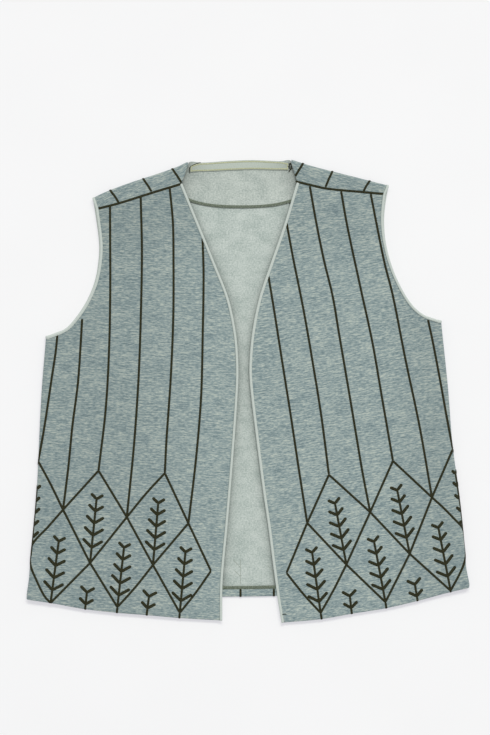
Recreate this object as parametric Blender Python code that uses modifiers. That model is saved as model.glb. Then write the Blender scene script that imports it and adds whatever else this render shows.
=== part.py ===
"""Embroidered knit vest, open at the front and without fastenings, laid out flat on its back.

Metres, +Z up. The vest lies on the plane Z = 0 with its neck towards +Y, its wearer's right
side at -X and its wearer's left side at +X. The origin is the middle of its footprint.

The cloth is a brushed sweatshirt knit. The back is one piece that turns over the top of each
shoulder and meets the front at a seam that lies forward of the fold. Each front turns round
the side and meets the back at a seam on the underside. All hems are turned up on the inside.
"""

import math

import bmesh
import bpy
from mathutils import Vector

MM = 0.001

# Cloth and sewing
CLOTH = 1.5 * MM
SEAM_GAP = 0.3 * MM
BAND_CLOTH = 1.0 * MM
BAND_WIDTH = 3.0 * MM
FACING_CLOTH = 1.2 * MM
TAPE_CLOTH = 1.0 * MM
TAPE_WIDTH = 11.0 * MM
HEM_DEPTH = 12.0 * MM
HEM_AIR = 0.7 * MM
SIDE_TURN = 14.0 * MM
ARMHOLE_OFFSET = {"right": 1.5 * MM, "left": 0.4 * MM}

# Heights of the cloth's middle surface above the table
BACK_Z = CLOTH / 2
BAND_PROUD = SEAM_GAP + BAND_CLOTH
BACK_ARMHOLE_Z = BACK_Z + BAND_PROUD + 0.2 * MM
FRONT_REST_Z = 4.4 * MM
SHOULDER_Z = 7.3 * MM
SHOULDER_Z_AT_NECK = 6.5 * MM
HEM_CENTRE_Z = 6.1 * MM
HEM_OUTER_Z = 7.2 * MM
FACING_Z = CLOTH + SEAM_GAP + FACING_CLOTH / 2
TAPE_Z = FACING_Z + FACING_CLOTH / 2 + SEAM_GAP + TAPE_CLOTH / 2

# Radii of the folds, to the middle of the cloth
SIDE_RADIUS = 3.4 * MM
SIDE_RADIUS_AT_HEM = 3.9 * MM
SHOULDER_RADIUS = (SHOULDER_Z - BACK_Z) / 2
HEM_RADIUS = (CLOTH + HEM_AIR) / 2

# How far each raised edge takes to settle back to the lying cloth
SIDE_EASE = 55 * MM
SHOULDER_EASE = 70 * MM
HEM_LEVEL = 50 * MM
HEM_EASE = 80 * MM
HEM_FLARE = 3.0 * MM
HEM_FLARE_LENGTH = 32 * MM

# Number of mesh steps
COLUMNS = 14
ROWS_BELOW = 12
ROWS_ABOVE = 9
FOLD_STEPS = 6
UNDERSIDE_STEPS = 2
HEM_FOLD_STEPS = 4
HEM_STEPS = 1
SHOULDER_COLUMNS = 7
NECK_COLUMNS = 8
STRIP_STEPS = 2
BAND_COLUMN = 0.045

# Outlines of the fronts as they lie, each from the hem up. Columns: x, y in millimetres.
FRONT_EDGE = {
    "right": (
        (-35.5, -311.5), (-34.8, -258), (-28.4, -186), (-20.4, -90), (-13.8, 6), (-13.6, 40),
        (-17, 80), (-27, 126), (-45.7, 174), (-65.4, 222), (-89.5, 281),
    ),
    "left": (
        (44.5, -314.5), (39.3, -282), (32.7, -234), (26.6, -186), (19.6, -138), (10.3, -66), (1.9, 6),
        (0.8, 35), (4.4, 78), (14, 126), (30, 174), (46.7, 222), (65, 282.5),
    ),
}
SIDE_FOLD = {
    "right": (
        (-298.4, -283), (-298.2, -258), (-295.8, -224), (-291.8, -185), (-287.6, -135), (-281.3, -5),
        (-275, 73),
    ),
    "left": ((297.5, -267.5), (293.6, -215), (284.4, -128), (276.8, -71), (270.8, 5), (261.5, 94.3)),
}
ARMHOLE = {
    "right": (
        (-275, 73), (-250.3, 83.6), (-236.4, 97.9), (-222, 119.1), (-211, 143.5), (-205.4, 167),
        (-203, 198), (-209, 248),
    ),
    "left": (
        (261.5, 94.3), (238.8, 102.6), (222.3, 117), (207, 141.5), (194.8, 169.9), (186.4, 202), (183.5, 229),
        (184.1, 248), (186.3, 266.8),
    ),
}

# Lines of the shoulders, each from the armhole to the neck. Columns: x, y in millimetres.
SHOULDER_FOLD = {
    "right": ((-213, 261), (-196, 269.6), (-163, 282.2), (-130, 293), (-98, 304.2), (-83, 311.3)),
    "left": ((191, 278.7), (147, 290.1), (114, 298.4), (81.6, 307), (58.6, 314.3)),
}
SHOULDER_SEAM = {
    "right": ((-209, 247), (-175, 255.5), (-130, 269.5), (-89.5, 281.5)),
    "left": ((186.3, 266.8), (156, 269.3), (106, 274.8), (65, 283)),
}

# Back neck and back hem, each from the wearer's right to left. Columns: x, y in millimetres.
NECKLINE = ((-83, 308), (-65, 310.3), (-25, 313), (6, 314), (37, 312.5), (58.6, 309.5))
BACK_HEM = ((-280, -283), (0, -279.6), (281, -268))
HEM_SAG = {"right": 5.5 * MM, "left": 6.4 * MM}

# The half-moon that lines the back neck: its centre, half width and depth, and how square it is
FACING_CENTRE_X = -10 * MM
FACING_HALF_WIDTH = 108 * MM
FACING_BOTTOM_Y = 249.5 * MM
FACING_TOP_Y = 313.5 * MM
FACING_SQUARENESS = 2.6
FACING_COLUMNS = 16
FACING_ROWS = 3
FACING_END = 0.96
FACING_NECK_MARGIN = 1.2 * MM
FACING_FOLD_MARGIN = 6.5 * MM
TAPE_COLUMNS = 10
TAPE_ENDS_X = (-79 * MM, 54 * MM)
TAPE_MARGIN = 0.8 * MM

# The largest soft folds of the fronts. Columns: start x, y; end x, y; half width; height (mm).
SOFT_FOLDS = {
    "right": (
        (-236, 40, -258, -170, 13, -0.9),
        (-262, 20, -276, -190, 11, 0.8),
        (-215, 120, -150, -20, 16, 0.7),
        (-70, 150, -62, -120, 15, 0.7),
        (-150, -150, -172, -270, 14, 0.6),
    ),
    "left": (
        (243, 60, 251, -130, 12, -1.3),
        (222, 60, 236, -190, 13, 1.0),
        (196, 150, 150, 10, 16, 0.7),
        (52, 120, 84, -150, 15, 0.7),
        (150, -120, 176, -262, 14, 0.6),
    ),
}
SIDE_SIGN = {"right": -1, "left": 1}

COLOURS = {
    "knit_face": (0.27, 0.34, 0.33),
    "knit_inside": (0.47, 0.53, 0.49),
    "edge_band": (0.52, 0.58, 0.53),
    "neck_tape": (0.48, 0.53, 0.46),
}


class Curve:
    """A smooth line through plan points, read by its share of length from the first point."""

    STEPS = 24

    def __init__(self, points, unit=MM):
        points = [Vector((p[0], p[1])) * unit for p in points]
        knots = [0.0]
        for a, b in zip(points, points[1:]):
            knots.append(knots[-1] + (b - a).length)
        slopes = []
        for k in range(len(points)):
            before, after = max(k - 1, 0), min(k + 1, len(points) - 1)
            slopes.append((points[after] - points[before]) / (knots[after] - knots[before]))
        self.points = []
        for k in range(len(points) - 1):
            span = knots[k + 1] - knots[k]
            last = k == len(points) - 2
            for step in range(self.STEPS + last):
                t = step / self.STEPS
                start = (1 + 2 * t) * (1 - t) ** 2 * points[k] + t * (1 - t) ** 2 * span * slopes[k]
                end = t * t * (3 - 2 * t) * points[k + 1] + t * t * (t - 1) * span * slopes[k + 1]
                self.points.append(start + end)
        self.lengths = [0.0]
        for a, b in zip(self.points, self.points[1:]):
            self.lengths.append(self.lengths[-1] + (b - a).length)

    def at(self, share):
        """The plan point at this share of the line's length."""
        wanted = min(max(share, 0.0), 1.0) * self.lengths[-1]
        for k in range(len(self.points) - 1):
            if wanted <= self.lengths[k + 1]:
                span = self.lengths[k + 1] - self.lengths[k]
                return self.points[k].lerp(self.points[k + 1], (wanted - self.lengths[k]) / span)
        return self.points[-1].copy()

    def y_at(self, x):
        """The height of the line at this distance across."""
        ordered = sorted((p.x, p.y) for p in self.points)
        for (x0, y0), (x1, y1) in zip(ordered, ordered[1:]):
            if x <= x1:
                return y0 + (y1 - y0) * (max(x, x0) - x0) / max(x1 - x0, 1e-9)
        return ordered[-1][1]


def ease(distance, length):
    """1 at distance 0, falling smoothly to 0 at length."""
    share = min(max(distance / length, 0.0), 1.0)
    return 0.5 * (1 + math.cos(math.pi * share))


def mix(a, b, share):
    """A value between a and b."""
    return a + (b - a) * share


def soft_folds(side, x, y):
    """Height that the soft folds add at a plan point of a front."""
    height = 0.0
    for x0, y0, x1, y1, half_width, rise in SOFT_FOLDS[side]:
        start, end = Vector((x0, y0)) * MM, Vector((x1, y1)) * MM
        along = end - start
        share = (Vector((x, y)) - start).dot(along) / along.length_squared
        near = start + along * min(max(share, 0.0), 1.0)
        across = (Vector((x, y)) - near).length / (half_width * MM)
        height += rise * MM * math.exp(-across * across)
    return height


def side_radius(y, hem_y):
    """Radius of the side fold, which the turned-up hem makes fuller."""
    return mix(SIDE_RADIUS, SIDE_RADIUS_AT_HEM, ease(y - hem_y, HEM_FLARE_LENGTH * 2))


def fold_point(side, share):
    """Plan point of the middle of the cloth, furthest out on the side fold."""
    point = Curve(SIDE_FOLD[side]).at(share)
    hem_y = SIDE_FOLD[side][0][1] * MM
    flare = HEM_FLARE * ease(point.y - hem_y, HEM_FLARE_LENGTH)
    inwards = CLOTH / 2 - flare
    return Vector((point.x - SIDE_SIGN[side] * inwards, point.y))


def seam_point(side, share):
    """Plan point on a shoulder seam, clear of the bands at its two ends."""
    seam = Curve(SHOULDER_SEAM[side])
    length = seam.lengths[-1]
    return seam.at(mix((ARMHOLE_OFFSET[side] + BAND_PROUD) / length, 1 - BAND_PROUD / length, share))


def shoulder_z(share):
    """Height of a shoulder, which lies flatter towards the neck, at a share from the armhole."""
    return mix(SHOULDER_Z, SHOULDER_Z_AT_NECK, share)


def turned_hem(row, next_row, outward_normals, first=0):
    """The rows that a hem adds below its row: the fold, then the cloth that is turned to the inside."""
    rows = []
    for step in range(1, HEM_FOLD_STEPS + HEM_STEPS + 1):
        made = [None] * len(row)
        for j, (point, above) in enumerate(zip(row, next_row)):
            if j < first or point is None or above is None:
                continue
            down = (point - above).normalized()
            normal = outward_normals[j]
            if step <= HEM_FOLD_STEPS:
                turn = math.pi * step / HEM_FOLD_STEPS
                inwards = HEM_RADIUS * (1 - math.cos(turn))
                made[j] = point + down * HEM_RADIUS * math.sin(turn) - normal * inwards
            else:
                share = (step - HEM_FOLD_STEPS) / HEM_STEPS
                made[j] = point - down * HEM_DEPTH * share - normal * 2 * HEM_RADIUS
        rows.append(made)
    return list(reversed(rows))


def front_grid(side):
    """Points of one front's middle surface: rows from the hem up, columns from the front edge out."""
    sign = SIDE_SIGN[side]
    edge, armhole = Curve(FRONT_EDGE[side]), Curve(ARMHOLE[side])
    seam = Curve(SHOULDER_SEAM[side])
    hem_y = SIDE_FOLD[side][0][1] * MM
    rows = ROWS_BELOW + ROWS_ABOVE
    underarm_share = 0.62
    grid = []
    for i in range(rows + 1):
        below = i <= ROWS_BELOW
        if below:
            v = underarm_share * i / ROWS_BELOW
            outermost = fold_point(side, i / ROWS_BELOW)
            radius = side_radius(outermost.y, hem_y)
            outer = Vector((outermost.x - sign * radius, outermost.y))
            outer_z = BACK_Z + 2 * radius
        else:
            above = (i - ROWS_BELOW) / ROWS_ABOVE
            v = mix(underarm_share, 1.0, above)
            outer = armhole.at(above)
            outer.x -= sign * (ARMHOLE_OFFSET[side] + BAND_PROUD)
            outer_z = mix(BACK_Z + 2 * SIDE_RADIUS, SHOULDER_Z, min(2 * above, 1.0))
        inner = edge.at(v)
        inner.x += sign * BAND_PROUD
        hem_inset = HEM_RADIUS + CLOTH / 2
        if i == 0:
            inner.y += hem_inset
            outer.y += hem_inset
        row = []
        band_column = (BAND_WIDTH + 2 * SEAM_GAP) / (outer - inner).length
        for j in range(COLUMNS + 1):
            u = 0.0 if j == 0 else mix(band_column, 1.0, (j - 1) / (COLUMNS - 1))
            point = inner.lerp(outer, u)
            point.y -= HEM_SAG[side] * 4 * u * (1 - u) * (1 - v) ** 3
            if i == rows:
                point = seam_point(side, 1 - u) - Vector((0, SEAM_GAP / 2))
            hem_share = ease(max(point.y - mix(edge.at(0).y, hem_y, u) - HEM_LEVEL, 0), HEM_EASE)
            hem_z = mix(HEM_CENTRE_Z, HEM_OUTER_Z, u)
            lying = mix(FRONT_REST_Z, hem_z, hem_share) + soft_folds(side, point.x, point.y)
            z = mix(lying, outer_z, ease((outer - point).length, SIDE_EASE))
            to_seam = seam.y_at(point.x) - point.y
            z = mix(z, shoulder_z(1 - u), ease(max(to_seam, 0), SHOULDER_EASE))
            if i == rows:
                z = shoulder_z(1 - u)
            row.append(Vector((point.x, point.y, z)))
        row += side_turn(side, i, row[-1], radius) if below else [None] * (FOLD_STEPS + UNDERSIDE_STEPS)
        grid.append(row)
    normals = [Vector((0, 0, 1))] * (COLUMNS + 1)
    for step in range(1, FOLD_STEPS + UNDERSIDE_STEPS + 1):
        turn = math.pi * min(step / FOLD_STEPS, 1.0)
        normals.append(Vector((sign * math.sin(turn), 0, math.cos(turn))))
    return turned_hem(grid[0], grid[1], normals, first=1) + grid


def side_turn(side, i, top, radius):
    """Points of one row of a front from the side fold round to the side seam on the underside."""
    sign = SIDE_SIGN[side]
    armhole = Curve(ARMHOLE[side])
    rise_share = (i / ROWS_BELOW) ** 8
    lift = (BACK_ARMHOLE_Z - BACK_Z) * rise_share
    rise = (armhole.y_at(top.x - sign * SIDE_TURN) - top.y) * rise_share
    low_z = BACK_Z + lift
    turn_radius = (top.z - low_z) / 2
    points = []
    for step in range(1, FOLD_STEPS + 1):
        turn = math.pi * step / FOLD_STEPS
        x = top.x + sign * radius * math.sin(turn)
        z = low_z + turn_radius * (1 + math.cos(turn))
        points.append(Vector((x, top.y + 0.25 * rise * step / FOLD_STEPS, z)))
    for step in range(1, UNDERSIDE_STEPS + 1):
        share = step / UNDERSIDE_STEPS
        y = top.y + rise * mix(0.25, 1.0, share)
        points.append(Vector((top.x - sign * SIDE_TURN * share, y, low_z)))
    return points


def strip_shares():
    """Shares along a shoulder of the back's columns, the second of them at the armhole band's edge."""
    even = [k / SHOULDER_COLUMNS for k in range(SHOULDER_COLUMNS + 1)]
    return [0.0, BAND_COLUMN] + even[1:]


def back_columns():
    """Share across the back of each column, with a column at each end of the neck."""
    right_end, left_end = SHOULDER_FOLD["right"][0][0], SHOULDER_FOLD["left"][0][0]
    width = left_end - right_end
    neck_right = (SHOULDER_FOLD["right"][-1][0] - right_end) / width
    neck_left = (SHOULDER_FOLD["left"][-1][0] - right_end) / width
    columns = [neck_right * share for share in strip_shares()]
    columns += [mix(neck_right, neck_left, k / NECK_COLUMNS) for k in range(1, NECK_COLUMNS)]
    columns += [mix(1.0, neck_left, share) for share in reversed(strip_shares())]
    return columns


def shoulder_line(side, share):
    """Fold point, seam point and direction down from the fold, at a share from the armhole to the neck."""
    line = Curve(SHOULDER_FOLD[side])
    along = (line.points[-1] - line.points[0]).normalized()
    towards = Vector((along.y, -along.x)) * -SIDE_SIGN[side]
    fold = line.at(mix((ARMHOLE_OFFSET[side] / 2 + BAND_PROUD) / line.lengths[-1], 1.0, share))
    return fold + towards * CLOTH / 2, seam_point(side, share) + Vector((0, SEAM_GAP / 2)), towards


def back_side_edge(side, i, front):
    """Plan point of the back's side edge in row i, next to the front's side seam or at the armhole."""
    sign = SIDE_SIGN[side]
    if i <= ROWS_BELOW:
        seam = front[i + HEM_FOLD_STEPS + HEM_STEPS][-1]
        return Vector((seam.x - sign * SEAM_GAP, seam.y))
    armhole = Curve(ARMHOLE[side])
    underarm = front[ROWS_BELOW + HEM_FOLD_STEPS + HEM_STEPS][-1]
    start = (Vector((underarm.x, underarm.y)) - armhole.at(0)).length / armhole.lengths[-1]
    point = armhole.at(mix(start, 1.0, (i - ROWS_BELOW) / ROWS_ABOVE))
    point.x -= sign * BAND_PROUD
    if i == ROWS_BELOW + ROWS_ABOVE:
        fold, _, towards = shoulder_line(side, 0)
        point = fold + towards * SHOULDER_RADIUS
    return point


def back_grid(fronts):
    """Points of the back's middle surface, in rows from the hem up and over the shoulders to the seams."""
    rows = ROWS_BELOW + ROWS_ABOVE
    columns = back_columns()
    last = len(columns) - 1
    sides = [back_side_edge("right", i, fronts["right"]) for i in range(rows + 1)]
    others = [back_side_edge("left", i, fronts["left"]) for i in range(rows + 1)]
    hem, neck = Curve(BACK_HEM), Curve(NECKLINE)
    strips = {}
    for k, share in enumerate(strip_shares()):
        strips[k] = ("right", share)
        strips[last - k] = ("left", share)
    top_shift, hem_shift = [], []
    for j, u in enumerate(columns):
        flat = sides[rows].lerp(others[rows], u)
        if j in strips:
            fold, _, towards = shoulder_line(*strips[j])
            top_shift.append(fold + towards * SHOULDER_RADIUS - flat)
        else:
            top_shift.append(neck.at((j - SHOULDER_COLUMNS - 1) / NECK_COLUMNS) - flat)
        flat = sides[0].lerp(others[0], u)
        hem_shift.append(hem.y_at(flat.x) + HEM_RADIUS + CLOTH / 2 - flat.y)
    grid = []
    for i in range(rows + 1):
        v = i / rows
        row = []
        for j, u in enumerate(columns):
            point = sides[i].lerp(others[i], u) + top_shift[j] * v**4
            point.y += hem_shift[j] * (1 - v) ** 6 * min(4 * u * (1 - u) * 4, 1.0)
            share = (i / ROWS_BELOW) ** 8 if i <= ROWS_BELOW else 1.0
            near_edge = 1.0 if j in (0, 1, last - 1, last) else 0.0
            z = mix(BACK_Z, BACK_ARMHOLE_Z, share * near_edge)
            row.append(Vector((point.x, point.y, z)))
        grid.append(row)
    for step in range(1, FOLD_STEPS + STRIP_STEPS + 1):
        row = [None] * len(columns)
        for j, (side, share) in strips.items():
            fold, seam, towards = shoulder_line(side, share)
            low = grid[rows][j]
            radius = (shoulder_z(share) - low.z) / 2
            tangent = Vector((low.x, low.y))
            if step <= FOLD_STEPS:
                turn = math.pi * step / FOLD_STEPS
                plan = tangent - towards * SHOULDER_RADIUS * math.sin(turn)
                z = low.z + radius * (1 - math.cos(turn))
            else:
                plan = tangent.lerp(seam, (step - FOLD_STEPS) / STRIP_STEPS)
                z = shoulder_z(share)
            row[j] = Vector((plan.x, plan.y, z))
        grid.append(row)
    normals = [Vector((0, 0, -1))] * len(columns)
    return turned_hem(grid[0], grid[1], normals) + grid


def facing_grid():
    """Points of the half-moon facing inside the back neck."""
    neck = Curve(NECKLINE)
    folds = {side: Curve(SHOULDER_FOLD[side]) for side in SHOULDER_FOLD}
    grid = [[] for _ in range(FACING_ROWS + 1)]
    for k in range(FACING_COLUMNS + 1):
        across = mix(-FACING_END, FACING_END, k / FACING_COLUMNS)
        x = FACING_CENTRE_X + across * FACING_HALF_WIDTH
        depth = (1 - abs(across) ** FACING_SQUARENESS) ** (1 / FACING_SQUARENESS)
        bottom = mix(FACING_TOP_Y, FACING_BOTTOM_Y, depth)
        top = neck.y_at(x) - FACING_NECK_MARGIN
        for fold in folds.values():
            if fold.points[0].x < x < fold.points[-1].x or fold.points[-1].x < x < fold.points[0].x:
                top = fold.y_at(x) - FACING_FOLD_MARGIN
        bottom = min(bottom, top - 4 * MM)
        for r in range(FACING_ROWS + 1):
            grid[r].append(Vector((x, mix(bottom, top, r / FACING_ROWS), FACING_Z)))
    return grid


def tape_grid():
    """Points of the tape that covers the back neck seam on the inside."""
    neck = Curve(NECKLINE)
    grid = [[], []]
    for k in range(TAPE_COLUMNS + 1):
        x = mix(*TAPE_ENDS_X, k / TAPE_COLUMNS)
        top = neck.y_at(x) - TAPE_MARGIN
        grid[0].append(Vector((x, top - TAPE_WIDTH, TAPE_Z)))
        grid[1].append(Vector((x, top, TAPE_Z)))
    return grid


def surface_normal(grid, i, j):
    """Normal of the cloth at one point of its grid, from the faces that meet there."""
    total = Vector((0, 0, 0))
    for low in (i - 1, i):
        for left in (j - 1, j):
            if low < 0 or left < 0 or low + 1 >= len(grid) or left + 1 >= len(grid[0]):
                continue
            corners = (grid[low][left], grid[low][left + 1], grid[low + 1][left + 1], grid[low + 1][left])
            if None not in corners:
                total += (corners[2] - corners[0]).cross(corners[3] - corners[1])
    return total.normalized()


def band_station(grid, place, inner_place, along=None, facing=1):
    """A cloth edge point with the direction into the cloth, square to the edge if its direction is given."""
    point = grid[place[0]][place[1]]
    normal = surface_normal(grid, *place) * facing
    inwards = grid[inner_place[0]][inner_place[1]] - point
    inwards = (inwards - normal * inwards.dot(normal)).normalized()
    if along is not None:
        square = normal.cross(along).normalized()
        inwards = square if square.dot(inwards) > 0 else -square
    return point, inwards, inwards.cross(normal)


def band_ring(station):
    """The C-shaped section of an edge band that is folded over a cloth edge."""
    point, inwards, along = station
    normal = along.cross(inwards)
    near, far = CLOTH / 2 + SEAM_GAP, CLOTH / 2 + BAND_PROUD
    section = (
        (BAND_WIDTH, far), (-BAND_PROUD, far), (-BAND_PROUD, -far), (BAND_WIDTH, -far),
        (BAND_WIDTH, -near), (-SEAM_GAP, -near), (-SEAM_GAP, near), (BAND_WIDTH, near),
    )
    return [point + inwards * a + normal * n for a, n in section]


def finish_object(name, mesh, colour, collection):
    """An object for a mesh, with its material, in the vest's collection."""
    made = bpy.data.objects.new(name, mesh)
    collection.objects.link(made)
    material = bpy.data.materials.get(colour) or bpy.data.materials.new(colour)
    material.use_nodes = True
    surface = material.node_tree.nodes["Principled BSDF"]
    surface.inputs["Base Color"].default_value = (*COLOURS[colour], 1)
    surface.inputs["Roughness"].default_value = 0.95
    surface.inputs["Metallic"].default_value = 0.0
    mesh.materials.append(material)
    mesh.shade_smooth()
    return made


def add_cloth(name, grid, thickness, colour, collection):
    """A cloth wall from a grid of middle points, where None leaves a hole in the grid."""
    shape = bmesh.new()
    verts = [[shape.verts.new(p) if p else None for p in row] for row in grid]
    for low, high in zip(verts, verts[1:]):
        for j in range(len(low) - 1):
            corners = (low[j], low[j + 1], high[j + 1], high[j])
            if None not in corners:
                shape.faces.new(corners)
    for vert in [v for v in shape.verts if not v.link_faces]:
        shape.verts.remove(vert)
    bmesh.ops.recalc_face_normals(shape, faces=shape.faces)
    mesh = bpy.data.meshes.new(name)
    shape.to_mesh(mesh)
    shape.free()
    made = finish_object(name, mesh, colour, collection)
    wall = made.modifiers.new("cloth thickness", "SOLIDIFY")
    wall.thickness = thickness
    wall.offset = 0
    wall.use_even_offset = True
    return made


def add_band(name, stations, closed, collection):
    """An edge band lofted through its stations, as a ring round an armhole or with two ends."""
    shape = bmesh.new()
    rings = [[shape.verts.new(p) for p in band_ring(s)] for s in stations]
    pairs = list(zip(rings, rings[1:])) + ([(rings[-1], rings[0])] if closed else [])
    for low, high in pairs:
        for k in range(len(low)):
            after = (k + 1) % len(low)
            shape.faces.new((low[k], low[after], high[after], high[k]))
    if not closed:
        shape.faces.new(rings[0])
        shape.faces.new(list(reversed(rings[-1])))
    bmesh.ops.recalc_face_normals(shape, faces=shape.faces)
    mesh = bpy.data.meshes.new(name)
    shape.to_mesh(mesh)
    shape.free()
    return finish_object(name, mesh, "edge_band", collection)


def front_band_stations(front):
    """Stations of the band along a front edge, from the hem's fold to the shoulder seam."""
    first, last = HEM_FOLD_STEPS + HEM_STEPS, len(front) - 1
    stations = []
    for i in range(first, last + 1):
        along = front[min(i + 1, last)][0] - front[max(i - 1, first)][0]
        stations.append(band_station(front, (i, 0), (i, 1), along))
    down = (front[first][0] - front[first + 1][0]).normalized()
    back_down = (front[last - 1][0] - front[last][0]).normalized()
    ends = {0: down * (HEM_RADIUS + CLOTH / 2), len(stations) - 1: back_down * SEAM_GAP}
    for k, shift in ends.items():
        point, inwards, along = stations[k]
        stations[k] = (point + shift, inwards, along)
    return stations


def armhole_stations(side, front, back):
    """Stations all round an armhole: up the front, over the shoulder, down the back and under."""
    underarm = HEM_FOLD_STEPS + HEM_STEPS + ROWS_BELOW
    top = underarm + ROWS_ABOVE
    outermost, next_in = (0, 1) if side == "right" else (len(back[0]) - 1, len(back[0]) - 2)
    places = [(front, (i, COLUMNS), (i, COLUMNS - 1), True) for i in range(underarm + 1, top)]
    places += [(back, (i, outermost), (i, next_in), False) for i in range(len(back) - 1, top - 1, -1)]
    places += [(back, (i, outermost), (i, next_in), True) for i in range(top - 1, underarm, -1)]
    last = COLUMNS + FOLD_STEPS + UNDERSIDE_STEPS
    places += [(front, (underarm, j), (underarm - 1, j), False) for j in range(last, COLUMNS - 1, -1)]
    points = [grid[place[0]][place[1]] for grid, place, _, _ in places]
    stations = []
    for k, (grid, place, inner_place, square) in enumerate(places):
        along = points[(k + 1) % len(points)] - points[k - 1]
        facing = -1 if grid is front and side == "left" else 1
        stations.append(band_station(grid, place, inner_place, along if square else None, facing))
    return stations


def main():
    """Builds every piece of the vest."""
    for old in list(bpy.data.objects):
        bpy.data.objects.remove(old, do_unlink=True)
    vest = bpy.data.collections.new("embroidered vest")
    bpy.context.scene.collection.children.link(vest)
    fronts = {side: front_grid(side) for side in ("right", "left")}
    back = back_grid(fronts)
    add_cloth("back", back, CLOTH, "knit_face", vest)
    for side, front in fronts.items():
        add_cloth(f"front_{side}", front, CLOTH, "knit_face", vest)
        add_band(f"front_band_{side}", front_band_stations(front), False, vest)
        add_band(f"armhole_band_{side}", armhole_stations(side, front, back), True, vest)
    add_cloth("neck_facing", facing_grid(), FACING_CLOTH, "knit_inside", vest)
    add_cloth("neck_tape", tape_grid(), TAPE_CLOTH, "neck_tape", vest)


main()
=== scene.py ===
"""Dresses the embroidered vest: knit cloth, edge binding, neck finish and thread work, laid out flat."""

import logging
import math
from collections.abc import Callable, Sequence
from dataclasses import dataclass, field
from enum import Enum

import bpy
import numpy as np
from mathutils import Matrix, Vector


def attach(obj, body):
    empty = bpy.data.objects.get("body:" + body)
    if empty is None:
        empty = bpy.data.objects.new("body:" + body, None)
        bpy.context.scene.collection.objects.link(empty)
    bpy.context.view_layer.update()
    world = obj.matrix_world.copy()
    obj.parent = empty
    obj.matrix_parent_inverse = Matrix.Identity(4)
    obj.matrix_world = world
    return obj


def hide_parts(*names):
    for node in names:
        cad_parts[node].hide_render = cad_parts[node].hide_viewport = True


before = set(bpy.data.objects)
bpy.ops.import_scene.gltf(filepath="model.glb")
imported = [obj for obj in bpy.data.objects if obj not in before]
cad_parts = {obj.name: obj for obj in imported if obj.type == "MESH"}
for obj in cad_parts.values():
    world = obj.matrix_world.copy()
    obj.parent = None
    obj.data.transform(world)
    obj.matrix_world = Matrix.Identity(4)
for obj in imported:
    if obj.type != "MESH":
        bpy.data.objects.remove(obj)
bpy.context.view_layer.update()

log = logging.getLogger("vest")

Rows = tuple[tuple[float, ...], ...]
Value = float | np.ndarray
Placing = Callable[[np.ndarray, np.ndarray, np.ndarray], np.ndarray]

MM = 0.001

# Cloth and sewing, as in the solids
CLOTH = 1.5 * MM
SEAM_GAP = 0.3 * MM
BAND_WIDTH = 3.0 * MM
BAND_PROUD = 1.3 * MM
FACING_CLOTH = 1.2 * MM
TAPE_CLOTH = 1.0 * MM
TAPE_WIDTH = 11.0 * MM
HEM_DEPTH = 12.0 * MM
HEM_RADIUS = 1.1 * MM
SIDE_TURN = 14.0 * MM

# Heights of the middle of the cloth, as in the solids
BACK_Z = 0.75 * MM
BACK_ARMHOLE_Z = BACK_Z + BAND_PROUD + 0.2 * MM
FRONT_REST_Z = 4.4 * MM
SHOULDER_Z = 7.3 * MM
SHOULDER_Z_AT_NECK = 6.5 * MM
HEM_CENTRE_Z = 6.1 * MM
HEM_OUTER_Z = 7.2 * MM
FACING_Z = 2.4 * MM
TAPE_Z = 3.8 * MM
SIDE_RADIUS = 3.4 * MM
SIDE_RADIUS_AT_HEM = 3.9 * MM
SHOULDER_RADIUS = 3.275 * MM

# Distances over which the raised edges settle
SIDE_EASE = 55 * MM
SHOULDER_EASE = 70 * MM
HEM_LEVEL = 50 * MM
HEM_EASE = 80 * MM
HEM_FLARE = 3.0 * MM
HEM_FLARE_LENGTH = 32 * MM

# How the back and the turned-under cloth rise to clear the armhole bindings
ARMHOLE_RIM = 6 * MM
RIM_EASE = 10 * MM
RISE_POWER = 8
SHOULDER_LENGTH = 137 * MM

# Mesh steps round the hems and folds, and the share of a panel's rows below the underarm
HEM_TURN_STEPS = 8
HEM_UP_STEPS = 6
HEM_STEPS = HEM_TURN_STEPS + HEM_UP_STEPS
FOLD_STEPS = 10
UNDER_STEPS = 5
STRIP_STEPS = 10
UNDERARM_SHARE = 0.62

# How much of the thread's height goes into the cloth where it lies on the floor
PRESSED_SHARE = 0.72

# Share along a shoulder fold where its strip ends, with room for rounding
STRIP_END = 1.0001

# How strongly painted shade darkens the cloth's colour in its hollows, under edges and towards its sides, and
# towards which colour
PAINTED_SHADE_STRENGTH = 0.38
PAINTED_SHADE_COLOUR = (0.02, 0.025, 0.025)

# Points that are set against a line at a time
BLOCK = 20000


class Side(Enum):
    """Wearer's side of the vest, with its sign along X."""

    RIGHT = -1
    LEFT = 1

    @property
    def label(self) -> str:
        """Name of the side in lower case."""
        return self.name.lower()


def ease(distance: np.ndarray, length: float) -> np.ndarray:
    """Falls smoothly from 1 at distance 0 to 0 at length."""
    return 0.5 * (1 + np.cos(np.pi * np.clip(distance / length, 0, 1)))


def smooth(share: np.ndarray) -> np.ndarray:
    """Rises smoothly from 0 to 1, level at both ends."""
    share = np.clip(share, 0, 1)
    return share * share * (3 - 2 * share)


def mix(a: Value, b: Value, share: Value) -> Value:
    """A value between a and b."""
    return a + (b - a) * share


def unit(vectors: np.ndarray) -> np.ndarray:
    """Vectors scaled to length 1."""
    return vectors / np.maximum(np.linalg.norm(vectors, axis=-1, keepdims=True), 1e-12)


def lengths_along(points: np.ndarray) -> np.ndarray:
    """Distance from the first point of a row to each one, along the row."""
    return np.concatenate([[0], np.cumsum(np.linalg.norm(np.diff(points, axis=0), axis=1))])


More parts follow.
